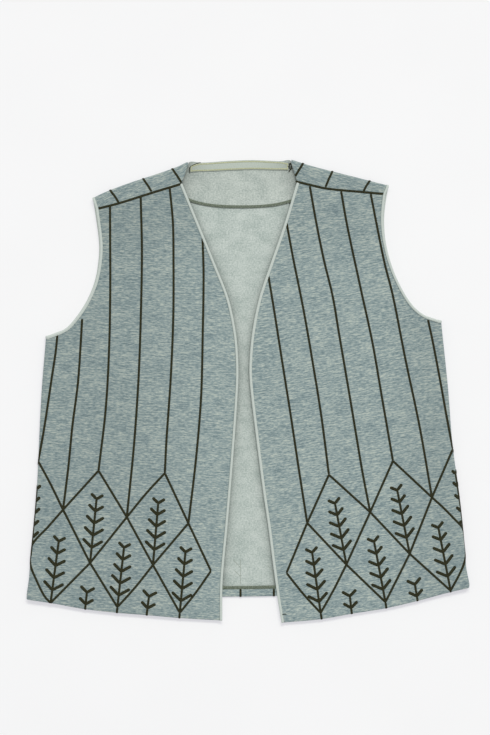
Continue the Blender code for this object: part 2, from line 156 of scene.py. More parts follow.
def distance_to(points: np.ndarray, line: np.ndarray) -> np.ndarray:
    """Distance in plan from each point to the nearest sample of a line.

    Args:
        points: plan points, (n, 2).
        line: samples of the line, (m, 2).

    Returns:
        Distances, (n,).
    """
    nearest = np.empty(len(points))
    for first in range(0, len(points), BLOCK):
        block = points[first:first + BLOCK, None, :] - line[None, :, :]
        nearest[first:first + BLOCK] = np.sqrt((block**2).sum(-1).min(1))
    return nearest


class SmoothLine:
    """A smooth line through plan points given in millimetres."""

    STEPS = 24

    def __init__(self, rows: Rows) -> None:
        """Samples the line.

        Args:
            rows: x and y of each point, in millimetres.
        """
        points = np.array(rows, float)[:, :2] * MM
        knots = lengths_along(points)
        count = len(points)
        before = np.maximum(np.arange(count) - 1, 0)
        after = np.minimum(np.arange(count) + 1, count - 1)
        slopes = (points[after] - points[before]) / (knots[after] - knots[before])[:, None]
        samples = []
        for k in range(count - 1):
            span = knots[k + 1] - knots[k]
            t = np.linspace(0, 1, self.STEPS + 1)[:, None]
            if k < count - 2:
                t = t[:-1]
            start = (1 + 2 * t) * (1 - t) ** 2 * points[k] + t * (1 - t) ** 2 * span * slopes[k]
            end = t * t * (3 - 2 * t) * points[k + 1] + t * t * (t - 1) * span * slopes[k + 1]
            samples.append(start + end)
        self.points = np.concatenate(samples)
        self.lengths = lengths_along(self.points)
        self.by_x = self.points[np.argsort(self.points[:, 0], kind="stable")]
        self.by_y = self.points[np.argsort(self.points[:, 1], kind="stable")]

    def at(self, share: np.ndarray) -> np.ndarray:
        """Plan points at shares of the line's length."""
        wanted = np.clip(share, 0, 1) * self.lengths[-1]
        return np.stack([np.interp(wanted, self.lengths, self.points[:, k]) for k in (0, 1)], -1)

    def y_at(self, x: np.ndarray) -> np.ndarray:
        """Height of the line at distances across."""
        return np.interp(x, self.by_x[:, 0], self.by_x[:, 1])

    def x_at(self, y: np.ndarray) -> np.ndarray:
        """Distance across of the line at heights."""
        return np.interp(y, self.by_y[:, 1], self.by_y[:, 0])


@dataclass(frozen=True)
class FrontOutline:
    """Outline of one front as it lies, in millimetres, each line a table of x and y.

    A crease gives both its ends, its half width and its rise. The painted side shade gives where it starts
    and is full on the way to the side, and its amount. The inset is how far the cloth stays inside the
    armhole.
    """

    side: Side
    edge: Rows
    hem: Rows
    fold: Rows
    armhole: Rows
    shoulder_fold: Rows
    shoulder_seam: Rows
    creases: Rows
    armhole_inset: float
    grain_degrees: float
    painted_side_shade: tuple[float, float, float]


RIGHT_OUTLINE = FrontOutline(
    side=Side.RIGHT,
    edge=(
        (-35.5, -311.5), (-34.8, -258), (-28.4, -186), (-20.4, -90), (-13.8, 6), (-13.6, 40),
        (-17, 80), (-27, 126), (-45.7, 174), (-65.4, 222), (-89.5, 281),
    ),
    hem=(
        (-299, -283), (-266, -288), (-225, -295.5), (-178, -301), (-137, -304.2), (-94, -308),
        (-35.5, -311.5),
    ),
    fold=(
        (-298.4, -283), (-298.2, -258), (-295.8, -224), (-291.8, -185), (-287.6, -135), (-281.3, -5),
        (-275, 73),
    ),
    armhole=(
        (-275, 73), (-250.3, 83.6), (-236.4, 97.9), (-222, 119.1), (-211, 143.5), (-205.4, 167),
        (-203, 198), (-209, 248),
    ),
    shoulder_fold=((-213, 261), (-196, 269.6), (-163, 282.2), (-130, 293), (-98, 304.2), (-83, 311.3)),
    shoulder_seam=((-209, 247), (-175, 255.5), (-130, 269.5), (-89.5, 281.5)),
    creases=(
        (-236, 40, -258, -170, 13, -0.9),
        (-262, 20, -276, -190, 11, 0.8),
        (-215, 120, -150, -20, 16, 0.7),
        (-70, 150, -62, -120, 15, 0.7),
        (-150, -150, -172, -270, 14, 0.6),
    ),
    armhole_inset=1.5,
    grain_degrees=-3.0,
    painted_side_shade=(20, 190, 0.31),
)
LEFT_OUTLINE = FrontOutline(
    side=Side.LEFT,
    edge=(
        (44.5, -314.5), (39.3, -282), (32.7, -234), (26.6, -186), (19.6, -138), (10.3, -66), (1.9, 6),
        (0.8, 35), (4.4, 78), (14, 126), (30, 174), (46.7, 222), (65, 282.5),
    ),
    hem=(
        (44.5, -314.5), (98, -309.6), (143, -301.8), (186, -294.8), (229, -284.8), (274, -272.6),
        (301, -266.5),
    ),
    fold=((297.5, -267.5), (293.6, -215), (284.4, -128), (276.8, -71), (270.8, 5), (261.5, 94.3)),
    armhole=(
        (261.5, 94.3), (238.8, 102.6), (222.3, 117), (207, 141.5), (194.8, 169.9), (186.4, 202),
        (183.5, 229), (184.1, 248), (186.3, 266.8),
    ),
    shoulder_fold=((191, 278.7), (147, 290.1), (114, 298.4), (81.6, 307), (58.6, 314.3)),
    shoulder_seam=((186.3, 266.8), (156, 269.3), (106, 274.8), (65, 283)),
    creases=(
        (243, 60, 251, -130, 12, -1.3),
        (222, 60, 236, -190, 13, 1.0),
        (196, 150, 150, 10, 16, 0.7),
        (52, 120, 84, -150, 15, 0.7),
        (150, -120, 176, -262, 14, 0.6),
        (199, 124, 240, 63, 9, -0.8),
        (221, -185, 220, -226, 11, -0.9),
    ),
    armhole_inset=0.4,
    grain_degrees=9.0,
    painted_side_shade=(165, 262, 0.27),
)
NECKLINE: Rows = (
    (-82.5, 307.8), (-81.3, 311), (-77, 312), (-70, 311.2), (-62, 310.6), (-25, 313), (6, 314),
    (37, 312.7), (45, 312.6), (51, 313.7), (56.8, 313.9), (58.5, 310.2),
)
BACK_HEM: Rows = ((-280, -283), (-35, -279.6), (33, -278.6), (281, -268))


def shoulder_height(share: np.ndarray) -> np.ndarray:
    """Height of a shoulder at a share from the armhole to the neck."""
    return mix(SHOULDER_Z, SHOULDER_Z_AT_NECK, np.clip(share, 0, 1))


def pressed(lift: np.ndarray, down: np.ndarray) -> np.ndarray:
    """Flattens what stands off the cloth where its outer side lies on the floor.

    Args:
        lift: height from the middle of the cloth towards its outer side.
        down: 0 where the outer side faces up, 1 where it lies on the floor.

    Returns:
        The height after pressing.
    """
    proud = np.maximum(lift - CLOTH / 2, 0)
    return lift - PRESSED_SHARE * proud * np.clip(down, 0, 1)


def rim_height(away: np.ndarray) -> np.ndarray:
    """Height of the back's cloth at a distance from its armhole."""
    return mix(BACK_Z, BACK_ARMHOLE_Z, ease(np.maximum(away - ARMHOLE_RIM, 0), RIM_EASE))


def hem_turn(below: np.ndarray, lift: np.ndarray) -> tuple[np.ndarray, np.ndarray]:
    """Carries cloth round a turned-up hem.

    Args:
        below: distance along the cloth past the line where it starts to turn.
        lift: height above the middle of the cloth, towards its outer side.

    Returns:
        How far down the point lands from that line, and its height towards the outer side.
    """
    turn = np.clip(below / HEM_RADIUS, 0, np.pi)
    past = np.maximum(below - np.pi * HEM_RADIUS, 0)
    down = (HEM_RADIUS + lift) * np.sin(turn) - past
    return np.where(below > 0, down, 0), lift * np.cos(turn) - HEM_RADIUS * (1 - np.cos(turn))


class FrontSurface:
    """The form of one front: its top, the side fold and the hem, as one sheet of cloth.

    A point of the sheet is given by its plan place, carried on past the side fold and the hem as if
    the cloth were still flat, and by its height from the middle of the cloth towards the outer side.
    """

    # How far the lines run up the turned-up hem
    HEM_REACH = 0.5 * MM
    # Where the painted shade under the shoulder starts, how far it takes to grow, and its amount
    SHOULDER_SHADE = (150 * MM, 90 * MM, 0.2)
    # Shares of the turn round the side over which the thread comes to lie on the floor
    PRESSED_FROM = 0.6
    # Heights of the finest and the broader unevenness
    FINE_WAVE = 0.07 * MM
    BROAD_WAVE = 0.16 * MM
    # How much of the rise at the underarm is reached at the end of the side fold
    RISE_IN_FOLD = 0.25

    def __init__(self, outline: FrontOutline) -> None:
        """Prepares the lines of the outline.

        Args:
            outline: the front's outline tables.
        """
        self.outline = outline
        self.sign = outline.side.value
        self.inset = outline.armhole_inset * MM
        self.edge = SmoothLine(outline.edge)
        self.hem = SmoothLine(outline.hem)
        self.fold = SmoothLine(outline.fold)
        self.armhole = SmoothLine(outline.armhole)
        self.seam = SmoothLine(outline.shoulder_seam)
        self.hem_y = outline.fold[0][1] * MM
        self.underarm_y = outline.fold[-1][1] * MM
        self.seam_y = outline.armhole[-1][1] * MM
        heights = np.linspace(self.hem_y - 30 * MM, self.underarm_y, 100)
        arm = self.armhole.points.copy()
        arm[:, 0] -= self.sign * (self.inset + BAND_PROUD)
        self.outer = np.concatenate([np.stack([self.bend_x(heights), heights], -1), arm])

    def fold_radius(self, y: np.ndarray) -> np.ndarray:
        """Radius of the side fold, which the turned-up hem makes fuller."""
        return mix(SIDE_RADIUS, SIDE_RADIUS_AT_HEM, ease(np.maximum(y - self.hem_y, 0), HEM_FLARE_LENGTH * 2))

    def bend_x(self, y: np.ndarray) -> np.ndarray:
        """Where the top of the cloth starts to turn round the side."""
        flare = HEM_FLARE * ease(np.maximum(y - self.hem_y, 0), HEM_FLARE_LENGTH)
        return self.fold.x_at(y) - self.sign * (CLOTH / 2 - flare + self.fold_radius(y))

    def outer_x(self, y: np.ndarray) -> np.ndarray:
        """Outer edge of the top of the cloth."""
        armhole = self.armhole.x_at(y) - self.sign * (self.inset + BAND_PROUD)
        return np.where(y > self.underarm_y, armhole, self.bend_x(y))

    def hem_start(self, a: np.ndarray) -> np.ndarray:
        """Where the cloth starts to turn up at the hem."""
        return self.hem.y_at(a) + HEM_RADIUS + CLOTH / 2

    def creases(self, x: np.ndarray, y: np.ndarray) -> np.ndarray:
        """Height that the soft folds and the finest unevenness of the cloth add."""
        height = np.zeros_like(x)
        for x0, y0, x1, y1, half_width, rise in self.outline.creases:
            start, end = np.array((x0, y0)) * MM, np.array((x1, y1)) * MM
            along = end - start
            share = ((x - start[0]) * along[0] + (y - start[1]) * along[1]) / (along @ along)
            near = start + along * np.clip(share, 0, 1)[..., None]
            across = np.hypot(x - near[..., 0], y - near[..., 1]) / (half_width * MM)
            height += rise * MM * np.exp(-across * across)
        x, y, phase = x / MM, y / MM, 1.7 * self.sign
        fine = np.sin(x / 17 + 1.9 * np.sin(y / 41 + phase)) * np.sin(y / 23 + phase)
        broad = np.sin(x / 34 + y / 51 + phase) * np.sin(y / 47 - x / 83)
        return height + self.FINE_WAVE * fine + self.BROAD_WAVE * broad

    def rest_height(self, x: np.ndarray, y: np.ndarray) -> np.ndarray:
        """Height of the middle of the cloth on top of the vest."""
        inner = self.edge.x_at(y)
        u = np.clip((x - inner) / (self.outer_x(y) - inner), 0, 1)
        hem_share = ease(np.maximum(y - self.hem.y_at(x) - HEM_LEVEL, 0), HEM_EASE)
        height = mix(FRONT_REST_Z, mix(HEM_CENTRE_Z, HEM_OUTER_Z, u), hem_share) + self.creases(x, y)
        up = np.clip(2 * (y - self.underarm_y) / (self.seam_y - self.underarm_y), 0, 1)
        outer_z = mix(BACK_Z + 2 * self.fold_radius(y), SHOULDER_Z, up)
        away = distance_to(np.stack([x.ravel(), y.ravel()], -1), self.outer).reshape(x.shape)
        height = mix(height, outer_z, ease(away, SIDE_EASE))
        below_seam = np.maximum(self.seam.y_at(x) - y, 0)
        return mix(height, shoulder_height(1 - u), ease(below_seam, SHOULDER_EASE))

    def painted_shade(self, points: np.ndarray) -> np.ndarray:
        """How much painted shade the front takes towards its side and, higher up, towards the shoulder."""
        start, full, amount = self.outline.painted_side_shade
        to_side = amount * smooth((self.sign * points[:, 0] / MM - start) / (full - start))
        low, length, amount = self.SHOULDER_SHADE
        return to_side + amount * smooth((points[:, 1] - low) / length)

    def low_height(self, y: np.ndarray) -> np.ndarray:
        """Height of the middle of the cloth that is turned under, which rises at the armhole."""
        up = np.clip((y - self.hem_y) / (self.underarm_y - self.hem_y), 0, 1)
        return mix(BACK_Z, BACK_ARMHOLE_Z, up**RISE_POWER)

    def place(self, a: np.ndarray, b: np.ndarray, n: np.ndarray) -> np.ndarray:
        """Places points of the sheet in space.

        Args:
            a: distance across, in the sheet.
            b: distance up, in the sheet.
            n: height from the middle of the cloth towards its outer side.

        Returns:
            Points in space, with one more axis than a.
        """
        start = self.hem_start(a)
        down, lift = hem_turn(np.maximum(start - b, 0), n)
        y = np.where(b < start, start - down, b)
        bend = self.bend_x(y)
        over = np.maximum(self.sign * (a - bend), 0)
        radius = self.fold_radius(y)
        turn = np.clip(over / radius, 0, np.pi)
        past = np.maximum(over - np.pi * radius, 0)
        lift = pressed(lift, (turn / np.pi - self.PRESSED_FROM) / (1 - self.PRESSED_FROM))
        top = self.rest_height(np.where(over > 0, bend, a), y)
        low = self.low_height(y)
        out = (radius + lift) * np.sin(turn) - past
        x = np.where(over > 0, bend + self.sign * out, a)
        z = np.where(over > 0, low + (top - low) / 2 * (1 + np.cos(turn)), top) + lift * np.cos(turn)
        return np.stack([x, y, z], -1)

    def sheet(self, columns: int, rows_below: int, rows_above: int) -> np.ndarray:
        """Grid of sheet points, with gaps where there is no cloth.

        Args:
            columns: cells across the top.
            rows_below: cells from the hem to the underarm.
            rows_above: cells from the underarm to the shoulder seam.

        Returns:
            Rows from the turned-up hem to the seam, columns from the front edge out and under.
        """
        inner_low = self.edge.points[0, 0] + self.sign * BAND_PROUD
        outer_low = self.bend_x(np.array(self.hem_y))
        u = np.linspace(0, 1, columns + 1)
        bottom_x = mix(inner_low, outer_low, u)
        bottom = np.stack([bottom_x, self.hem_start(bottom_x)], -1)
        trim = self.seam.lengths[-1]
        seam = self.seam.at(mix(1 - BAND_PROUD / trim, (self.inset + BAND_PROUD) / trim, u))
        seam[:, 1] -= SEAM_GAP / 2
        v_below = np.linspace(0, UNDERARM_SHARE, rows_below + 1)
        v_above = np.linspace(UNDERARM_SHARE, 1, rows_above + 1)[1:]
        v = np.concatenate([v_below, v_above])
        inner_y = mix(bottom[0, 1], seam[0, 1], v)
        inner = np.stack([self.edge.x_at(inner_y) + self.sign * BAND_PROUD, inner_y], -1)
        side_y = mix(bottom[-1, 1], self.underarm_y, v_below / UNDERARM_SHARE)
        side = np.stack([self.bend_x(side_y), side_y], -1)
        arm = self.armhole.at((v_above - UNDERARM_SHARE) / (1 - UNDERARM_SHARE))
        arm[:, 0] -= self.sign * (self.inset + BAND_PROUD)
        outer = np.concatenate([side, arm])
        outer[-1], inner[0], inner[-1] = seam[-1], bottom[0], seam[0]
        grid = coons(bottom, seam, inner, outer, u, v)
        radius = self.fold_radius(outer[:, 1])
        turned = np.concatenate([np.linspace(0, 1, FOLD_STEPS + 1)[1:], np.ones(UNDER_STEPS)])
        under = np.concatenate([np.zeros(FOLD_STEPS), np.linspace(0, 1, UNDER_STEPS + 1)[1:]])
        fold = np.full((len(v), len(turned), 2), np.nan)
        for i in range(rows_below + 1):
            rise = self.armhole.y_at(outer[i, 0] - self.sign * SIDE_TURN) - self.underarm_y
            risen = self.RISE_IN_FOLD * turned + (1 - self.RISE_IN_FOLD) * under
            fold[i, :, 0] = outer[i, 0] + self.sign * (turned * np.pi * radius[i] + under * SIDE_TURN)
            fold[i, :, 1] = outer[i, 1] + rise * (i / rows_below) ** RISE_POWER * risen
        grid = np.concatenate([grid, fold], 1)
        return np.concatenate([hem_rows(grid[0], 1), grid])


class Opening:
    """The open front and neck, between the fronts' edges and the inner ends of the shoulder strips.

    The painted shade under an edge has a reach and a depth, each in the open front and at the neck, and
    passes from one to the other over a stretch below the neck.
    """

    REACH = (5.0 * MM, 16.0 * MM)
    DEPTH = (1.0, 1.15)
    DEEPEST = 1.2
    NECK_START = 262 * MM
    NECK_LENGTH = 25 * MM

    def __init__(self) -> None:
        """Prepares the two inner edges, each carried on to the end of the shoulder fold."""
        self.inner = {
            outline.side: SmoothLine((*outline.edge, outline.shoulder_fold[-1]))
            for outline in (RIGHT_OUTLINE, LEFT_OUTLINE)
        }

    def painted_shade(self, points: np.ndarray) -> np.ndarray:
        """How much painted shade the cloth inside takes in the corner under each edge.

        Args:
            points: plan points, (n, 2).

        Returns:
            1 under an edge, falling to 0 in the open, deeper and more slowly at the neck.
        """
        x, y = points[:, 0], points[:, 1]
        at_neck = np.clip((y - self.NECK_START) / self.NECK_LENGTH, 0, 1)
        depth = np.zeros(len(points))
        for side, line in self.inner.items():
            away = np.maximum(side.value * (line.x_at(y) - x), 0)
            depth += mix(*self.DEPTH, at_neck) * np.exp(-away / mix(*self.REACH, at_neck))
        return np.clip(depth, 0, self.DEEPEST)


def hem_rows(first: np.ndarray, skip: int) -> np.ndarray:
    """Sheet rows of the cloth that is turned up below a row.

    Args:
        first: sheet points where the cloth starts to turn.
        skip: columns at the start that have no turned-up cloth.

    Returns:
        Rows from the cut edge down to the start of the turn.
    """
    turn = np.pi * HEM_RADIUS
    steps = np.concatenate([
        np.linspace(0, turn, HEM_TURN_STEPS + 1)[1:],
        turn + np.linspace(0, HEM_DEPTH, HEM_UP_STEPS + 1)[1:],
    ])
    rows = np.repeat(first[None], len(steps), 0)
    rows[:, :, 1] -= steps[:, None]
    rows[:, :skip] = np.nan
    return rows[::-1]


def coons(
    bottom: np.ndarray, top: np.ndarray, left: np.ndarray, right: np.ndarray,
    u: np.ndarray, v: np.ndarray,
) -> np.ndarray:
    """Grid of points that fills four border lines.

    Args:
        bottom: points at u along the lower border.
        top: points at u along the upper border.
        left: points at v up the first border.
        right: points at v up the last border.
        u: shares across.
        v: shares up.

    Returns:
        Points, (rows, columns, 2).
    """
    u, v = u[None, :, None], v[:, None, None]
    across = (1 - v) * bottom[None] + v * top[None]
    up = (1 - u) * left[:, None] + u * right[:, None]
    corners = (1 - v) * ((1 - u) * bottom[0] + u * bottom[-1]) + v * ((1 - u) * top[0] + u * top[-1])
    return across + up - corners


class ShoulderFold:
    """Where the back turns over one shoulder, in directions along and square to the fold."""

    def __init__(self, outline: FrontOutline) -> None:
        """Prepares the fold's line.

        Args:
            outline: outline of the front on that side.
        """
        self.line = SmoothLine(outline.shoulder_fold)
        self.seam = SmoothLine(outline.shoulder_seam)
        self.sign = outline.side.value
        self.inset = outline.armhole_inset * MM
        self.along = unit(self.line.points[-1] - self.line.points[0])
        self.up = np.array((-self.along[1], self.along[0])) * -self.sign
        start = (self.inset / 2 + BAND_PROUD) / self.line.lengths[-1]
        line = self.line.at(np.linspace(start, 1, 60)) - self.up * (CLOTH / 2 + SHOULDER_RADIUS)
        self.bend = np.stack([line @ self.along, line @ self.up], -1)

    def past(self, points: np.ndarray) -> np.ndarray:
        """How far points lie beyond the line where the back starts to turn; below 0 before it."""
        return points @ self.up - np.interp(points @ self.along, self.bend[:, 0], self.bend[:, 1])

    def share(self, points: np.ndarray) -> np.ndarray:
        """Share of the way from the armhole to the neck."""
        low, high = self.bend[0, 0], self.bend[-1, 0]
        return (points @ self.along - low) / (high - low)

    def turns(self, points: np.ndarray, start: float = 0.0) -> np.ndarray:
        """Whether sheet points lie in the strip that turns over, from a distance past its start."""
        beside = self.sign * points[..., 0] > 0
        return beside & (self.past(points) > start) & (self.share(points) < STRIP_END)

    def unfolded(self, points: np.ndarray) -> np.ndarray:
        """Sheet points of plan points that lie on the turned-over strip."""
        inside = -self.past(points)
        return points + self.up * (2 * inside + np.pi * SHOULDER_RADIUS)[..., None]

    def seam_line(self, share: np.ndarray) -> np.ndarray:
        """Plan points of the shoulder seam, clear of the bands at its ends."""
        length = self.seam.lengths[-1]
        return self.seam.at(mix((self.inset + BAND_PROUD) / length, 1 - BAND_PROUD / length, share))

    def start_line(self, share: np.ndarray) -> np.ndarray:
        """Plan points where the back starts to turn, at shares from the armhole."""
        length = self.line.lengths[-1]
        line = self.line.at(mix((self.inset / 2 + BAND_PROUD) / length, 1.0, share))
        return line - self.up * (CLOTH / 2 + SHOULDER_RADIUS)


class BackSurface:
    """The form of the back: flat below, turned over both shoulders and turned up at the hem.

    Its sheet points work as those of a front do. Its outer side faces down where it lies flat.
    """

    # How far the lines run up the turned-up hem
    HEM_REACH = 9.0 * MM
    # How far past the start of the turn, in radii, the thread still lies on the floor
    PRESSED_TO = 1.5
    # Painted shade on the shoulder strips
    STRIP_SHADE = 0.28
    # How sharply the armhole's line bends to meet the shoulder fold
    ARMHOLE_BEND = 6

    def __init__(self, fronts: dict[Side, FrontSurface]) -> None:
        """Prepares the lines.

        Args:
            fronts: the two fronts, whose armholes and side seams the back shares.
        """
        self.fronts = fronts
        self.hem = SmoothLine(BACK_HEM)
        self.neck = SmoothLine(NECKLINE)
        self.opening = Opening()
        self.shoulders = {side: ShoulderFold(front.outline) for side, front in fronts.items()}
        arms = []
        for side, front in fronts.items():
            arm = front.armhole.points.copy()
            arm[:, 0] -= side.value * BAND_PROUD
            arms.append(arm)
            arms.append(self.shoulders[side].start_line(np.array([0.0])))
        self.arms = np.concatenate(arms)

    def hem_start(self, a: np.ndarray) -> np.ndarray:
        """Where the cloth starts to turn up at the hem."""
        return self.hem.y_at(a) + HEM_RADIUS + CLOTH / 2

    def place(self, a: np.ndarray, b: np.ndarray, n: np.ndarray) -> np.ndarray:
        """Places points of the sheet in space.

        Args:
            a: distance across, in the sheet.
            b: distance up, in the sheet.
            n: height from the middle of the cloth towards its outer side.

        Returns:
            Points in space, with one more axis than a.
        """
        start = self.hem_start(a)
        down, lift = hem_turn(np.maximum(start - b, 0), n)
        y = np.where(b < start, start - down, b)
        flat = np.stack([a, y], -1)
        away = distance_to(flat.reshape(-1, 2), self.arms).reshape(a.shape)
        lying = pressed(lift, 1 - (start - b) / (2 * HEM_RADIUS))
        points = np.concatenate([flat, (rim_height(away) - lying)[..., None]], -1)
        for shoulder in self.shoulders.values():
            here = shoulder.turns(flat)
            if not here.any():
                continue
            past, share = shoulder.past(flat[here]), shoulder.share(flat[here])
            lift_here = pressed(lift[here], 1 - past / (self.PRESSED_TO * SHOULDER_RADIUS))
            turn = np.clip(past / SHOULDER_RADIUS, 0, np.pi)
            beyond = np.maximum(past - np.pi * SHOULDER_RADIUS, 0)
            out = (SHOULDER_RADIUS + lift_here) * np.sin(turn) - beyond
            plan = flat[here] + shoulder.up * (out - past)[:, None]
            low = rim_height(share * SHOULDER_LENGTH)
            radius = (shoulder_height(share) - low) / 2
            height = low + radius * (1 - np.cos(turn)) - lift_here * np.cos(turn)
            points[here] = np.concatenate([plan, height[:, None]], -1)
        return points

    def painted_shade(self, flat: np.ndarray) -> np.ndarray:
        """Painted shade of sheet points: in the corners inside, a little on the shoulder strips, none on the
        hem turn.
        """
        depth = self.opening.painted_shade(flat)
        for shoulder in self.shoulders.values():
            depth[shoulder.turns(flat)] = self.STRIP_SHADE
        depth[flat[:, 1] < self.hem_start(flat[:, 0]) - HEM_RADIUS] = 0
        return depth

    def holds(self, points: np.ndarray, margin: float) -> np.ndarray:
        """Whether sheet points lie inside the side seams and armholes by a margin."""
        inside = np.full(len(points), True)
        x, y = points[:, 0], points[:, 1]
        for side, front in self.fronts.items():
            seam = front.bend_x(y) - side.value * (SIDE_TURN + SEAM_GAP)
            arm = front.armhole.x_at(y) - side.value * BAND_WIDTH
            limit = np.where(y < front.underarm_y, seam, arm) - side.value * margin
            inside &= (side.value * x < side.value * limit) | (y > front.seam_y)
        return inside

    def cut(self, flat: np.ndarray) -> np.ndarray:
        """Place in the cloth of sheet points, with the knit's rows along the fold on the strips."""
        place = flat.copy()
        for shoulder in self.shoulders.values():
            strip = shoulder.turns(flat, 0.5 * MM)
            place[strip] = np.stack([flat[strip] @ shoulder.along, flat[strip] @ shoulder.up], -1)
        return place

    def side_line(self, side: Side, v_below: np.ndarray, v_above: np.ndarray) -> np.ndarray:
        """Plan points up one side: the side seam, then the armhole.

        Args:
            side: which side.
            v_below: shares up the seam.
            v_above: shares up the armhole.

        Returns:
            Points from the hem to the shoulder fold.
        """
        front, sign = self.fronts[side], side.value
        y = mix(self.hem_start(front.bend_x(np.array(front.hem_y))), front.underarm_y, v_below)
        seam_x = front.bend_x(y) - sign * (SIDE_TURN + SEAM_GAP)
        rise = front.armhole.y_at(seam_x[-1]) - front.underarm_y
        seam = np.stack([seam_x, y + rise * v_below**RISE_POWER], -1)
        corner = seam[-1] + np.array([sign * BAND_PROUD, 0])
        start = np.linalg.norm(corner - front.armhole.points[0]) / front.armhole.lengths[-1]
        arm = front.armhole.at(mix(start, 1.0, v_above))
        arm[:, 0] -= sign * BAND_PROUD
        top = self.shoulders[side].start_line(np.array([0.0]))[0]
        arm += (top - arm[-1]) * v_above[:, None] ** self.ARMHOLE_BEND
        return np.concatenate([seam, arm])

    def sheet(self, shoulder_columns: int, neck_columns: int, rows_below: int, rows_above: int) -> np.ndarray:
        """Grid of sheet points, with gaps where there is no cloth.

        Args:
            shoulder_columns: cells along each shoulder.
            neck_columns: cells along the neck.
            rows_below: cells from the hem to the underarm.
            rows_above: cells from the underarm to the shoulder fold.

        Returns:
            Rows from the turned-up hem to the shoulder seams, columns from the wearer's right.
        """
        shares = np.linspace(0, 1, shoulder_columns + 1)
        right = self.shoulders[Side.RIGHT].start_line(shares)
        left = self.shoulders[Side.LEFT].start_line(shares)[::-1]
        neck = self.neck.at(np.linspace(0, 1, neck_columns + 1)[1:-1])
        top = np.concatenate([right, neck, left])
        steps = np.concatenate([[0], np.cumsum(np.abs(np.diff(top[:, 0])))])
        u = steps / steps[-1]
        v_below, v_above = np.linspace(0, 1, rows_below + 1), np.linspace(0, 1, rows_above + 1)[1:]
        v = np.concatenate([v_below * UNDERARM_SHARE, mix(UNDERARM_SHARE, 1, v_above)])
        sides = [self.side_line(side, v_below, v_above) for side in (Side.RIGHT, Side.LEFT)]
        bottom_x = mix(sides[0][0, 0], sides[1][0, 0], u)
        bottom = np.stack([bottom_x, self.hem_start(bottom_x)], -1)
        sides[0][0], sides[1][0] = bottom[0], bottom[-1]
        sides[0][-1], sides[1][-1] = top[0], top[-1]
        grid = coons(bottom, top, sides[0], sides[1], u, v)
        fold = np.linspace(0, 1, FOLD_STEPS + 1)[1:]
        strip = np.linspace(0, 1, STRIP_STEPS + 1)[1:]
        above = np.full((len(fold) + len(strip), len(u), 2), np.nan)
        numbers = range(len(u))
        from_armhole = {Side.RIGHT: numbers, Side.LEFT: numbers[::-1]}
        for side, shoulder in self.shoulders.items():
            columns = from_armhole[side][:shoulder_columns + 1]
            seam = shoulder.seam_line(shares) + np.array([0, SEAM_GAP / 2])
            for k, column in enumerate(columns):
                start = top[column]
                above[:len(fold), column] = start + shoulder.up * (fold * np.pi * SHOULDER_RADIUS)[:, None]
                plan = start + (seam[k] - start) * strip[:, None]
                above[len(fold):, column] = shoulder.unfolded(plan)
        return np.concatenate([hem_rows(grid[0], 0), grid, above])


Panel = FrontSurface | BackSurface


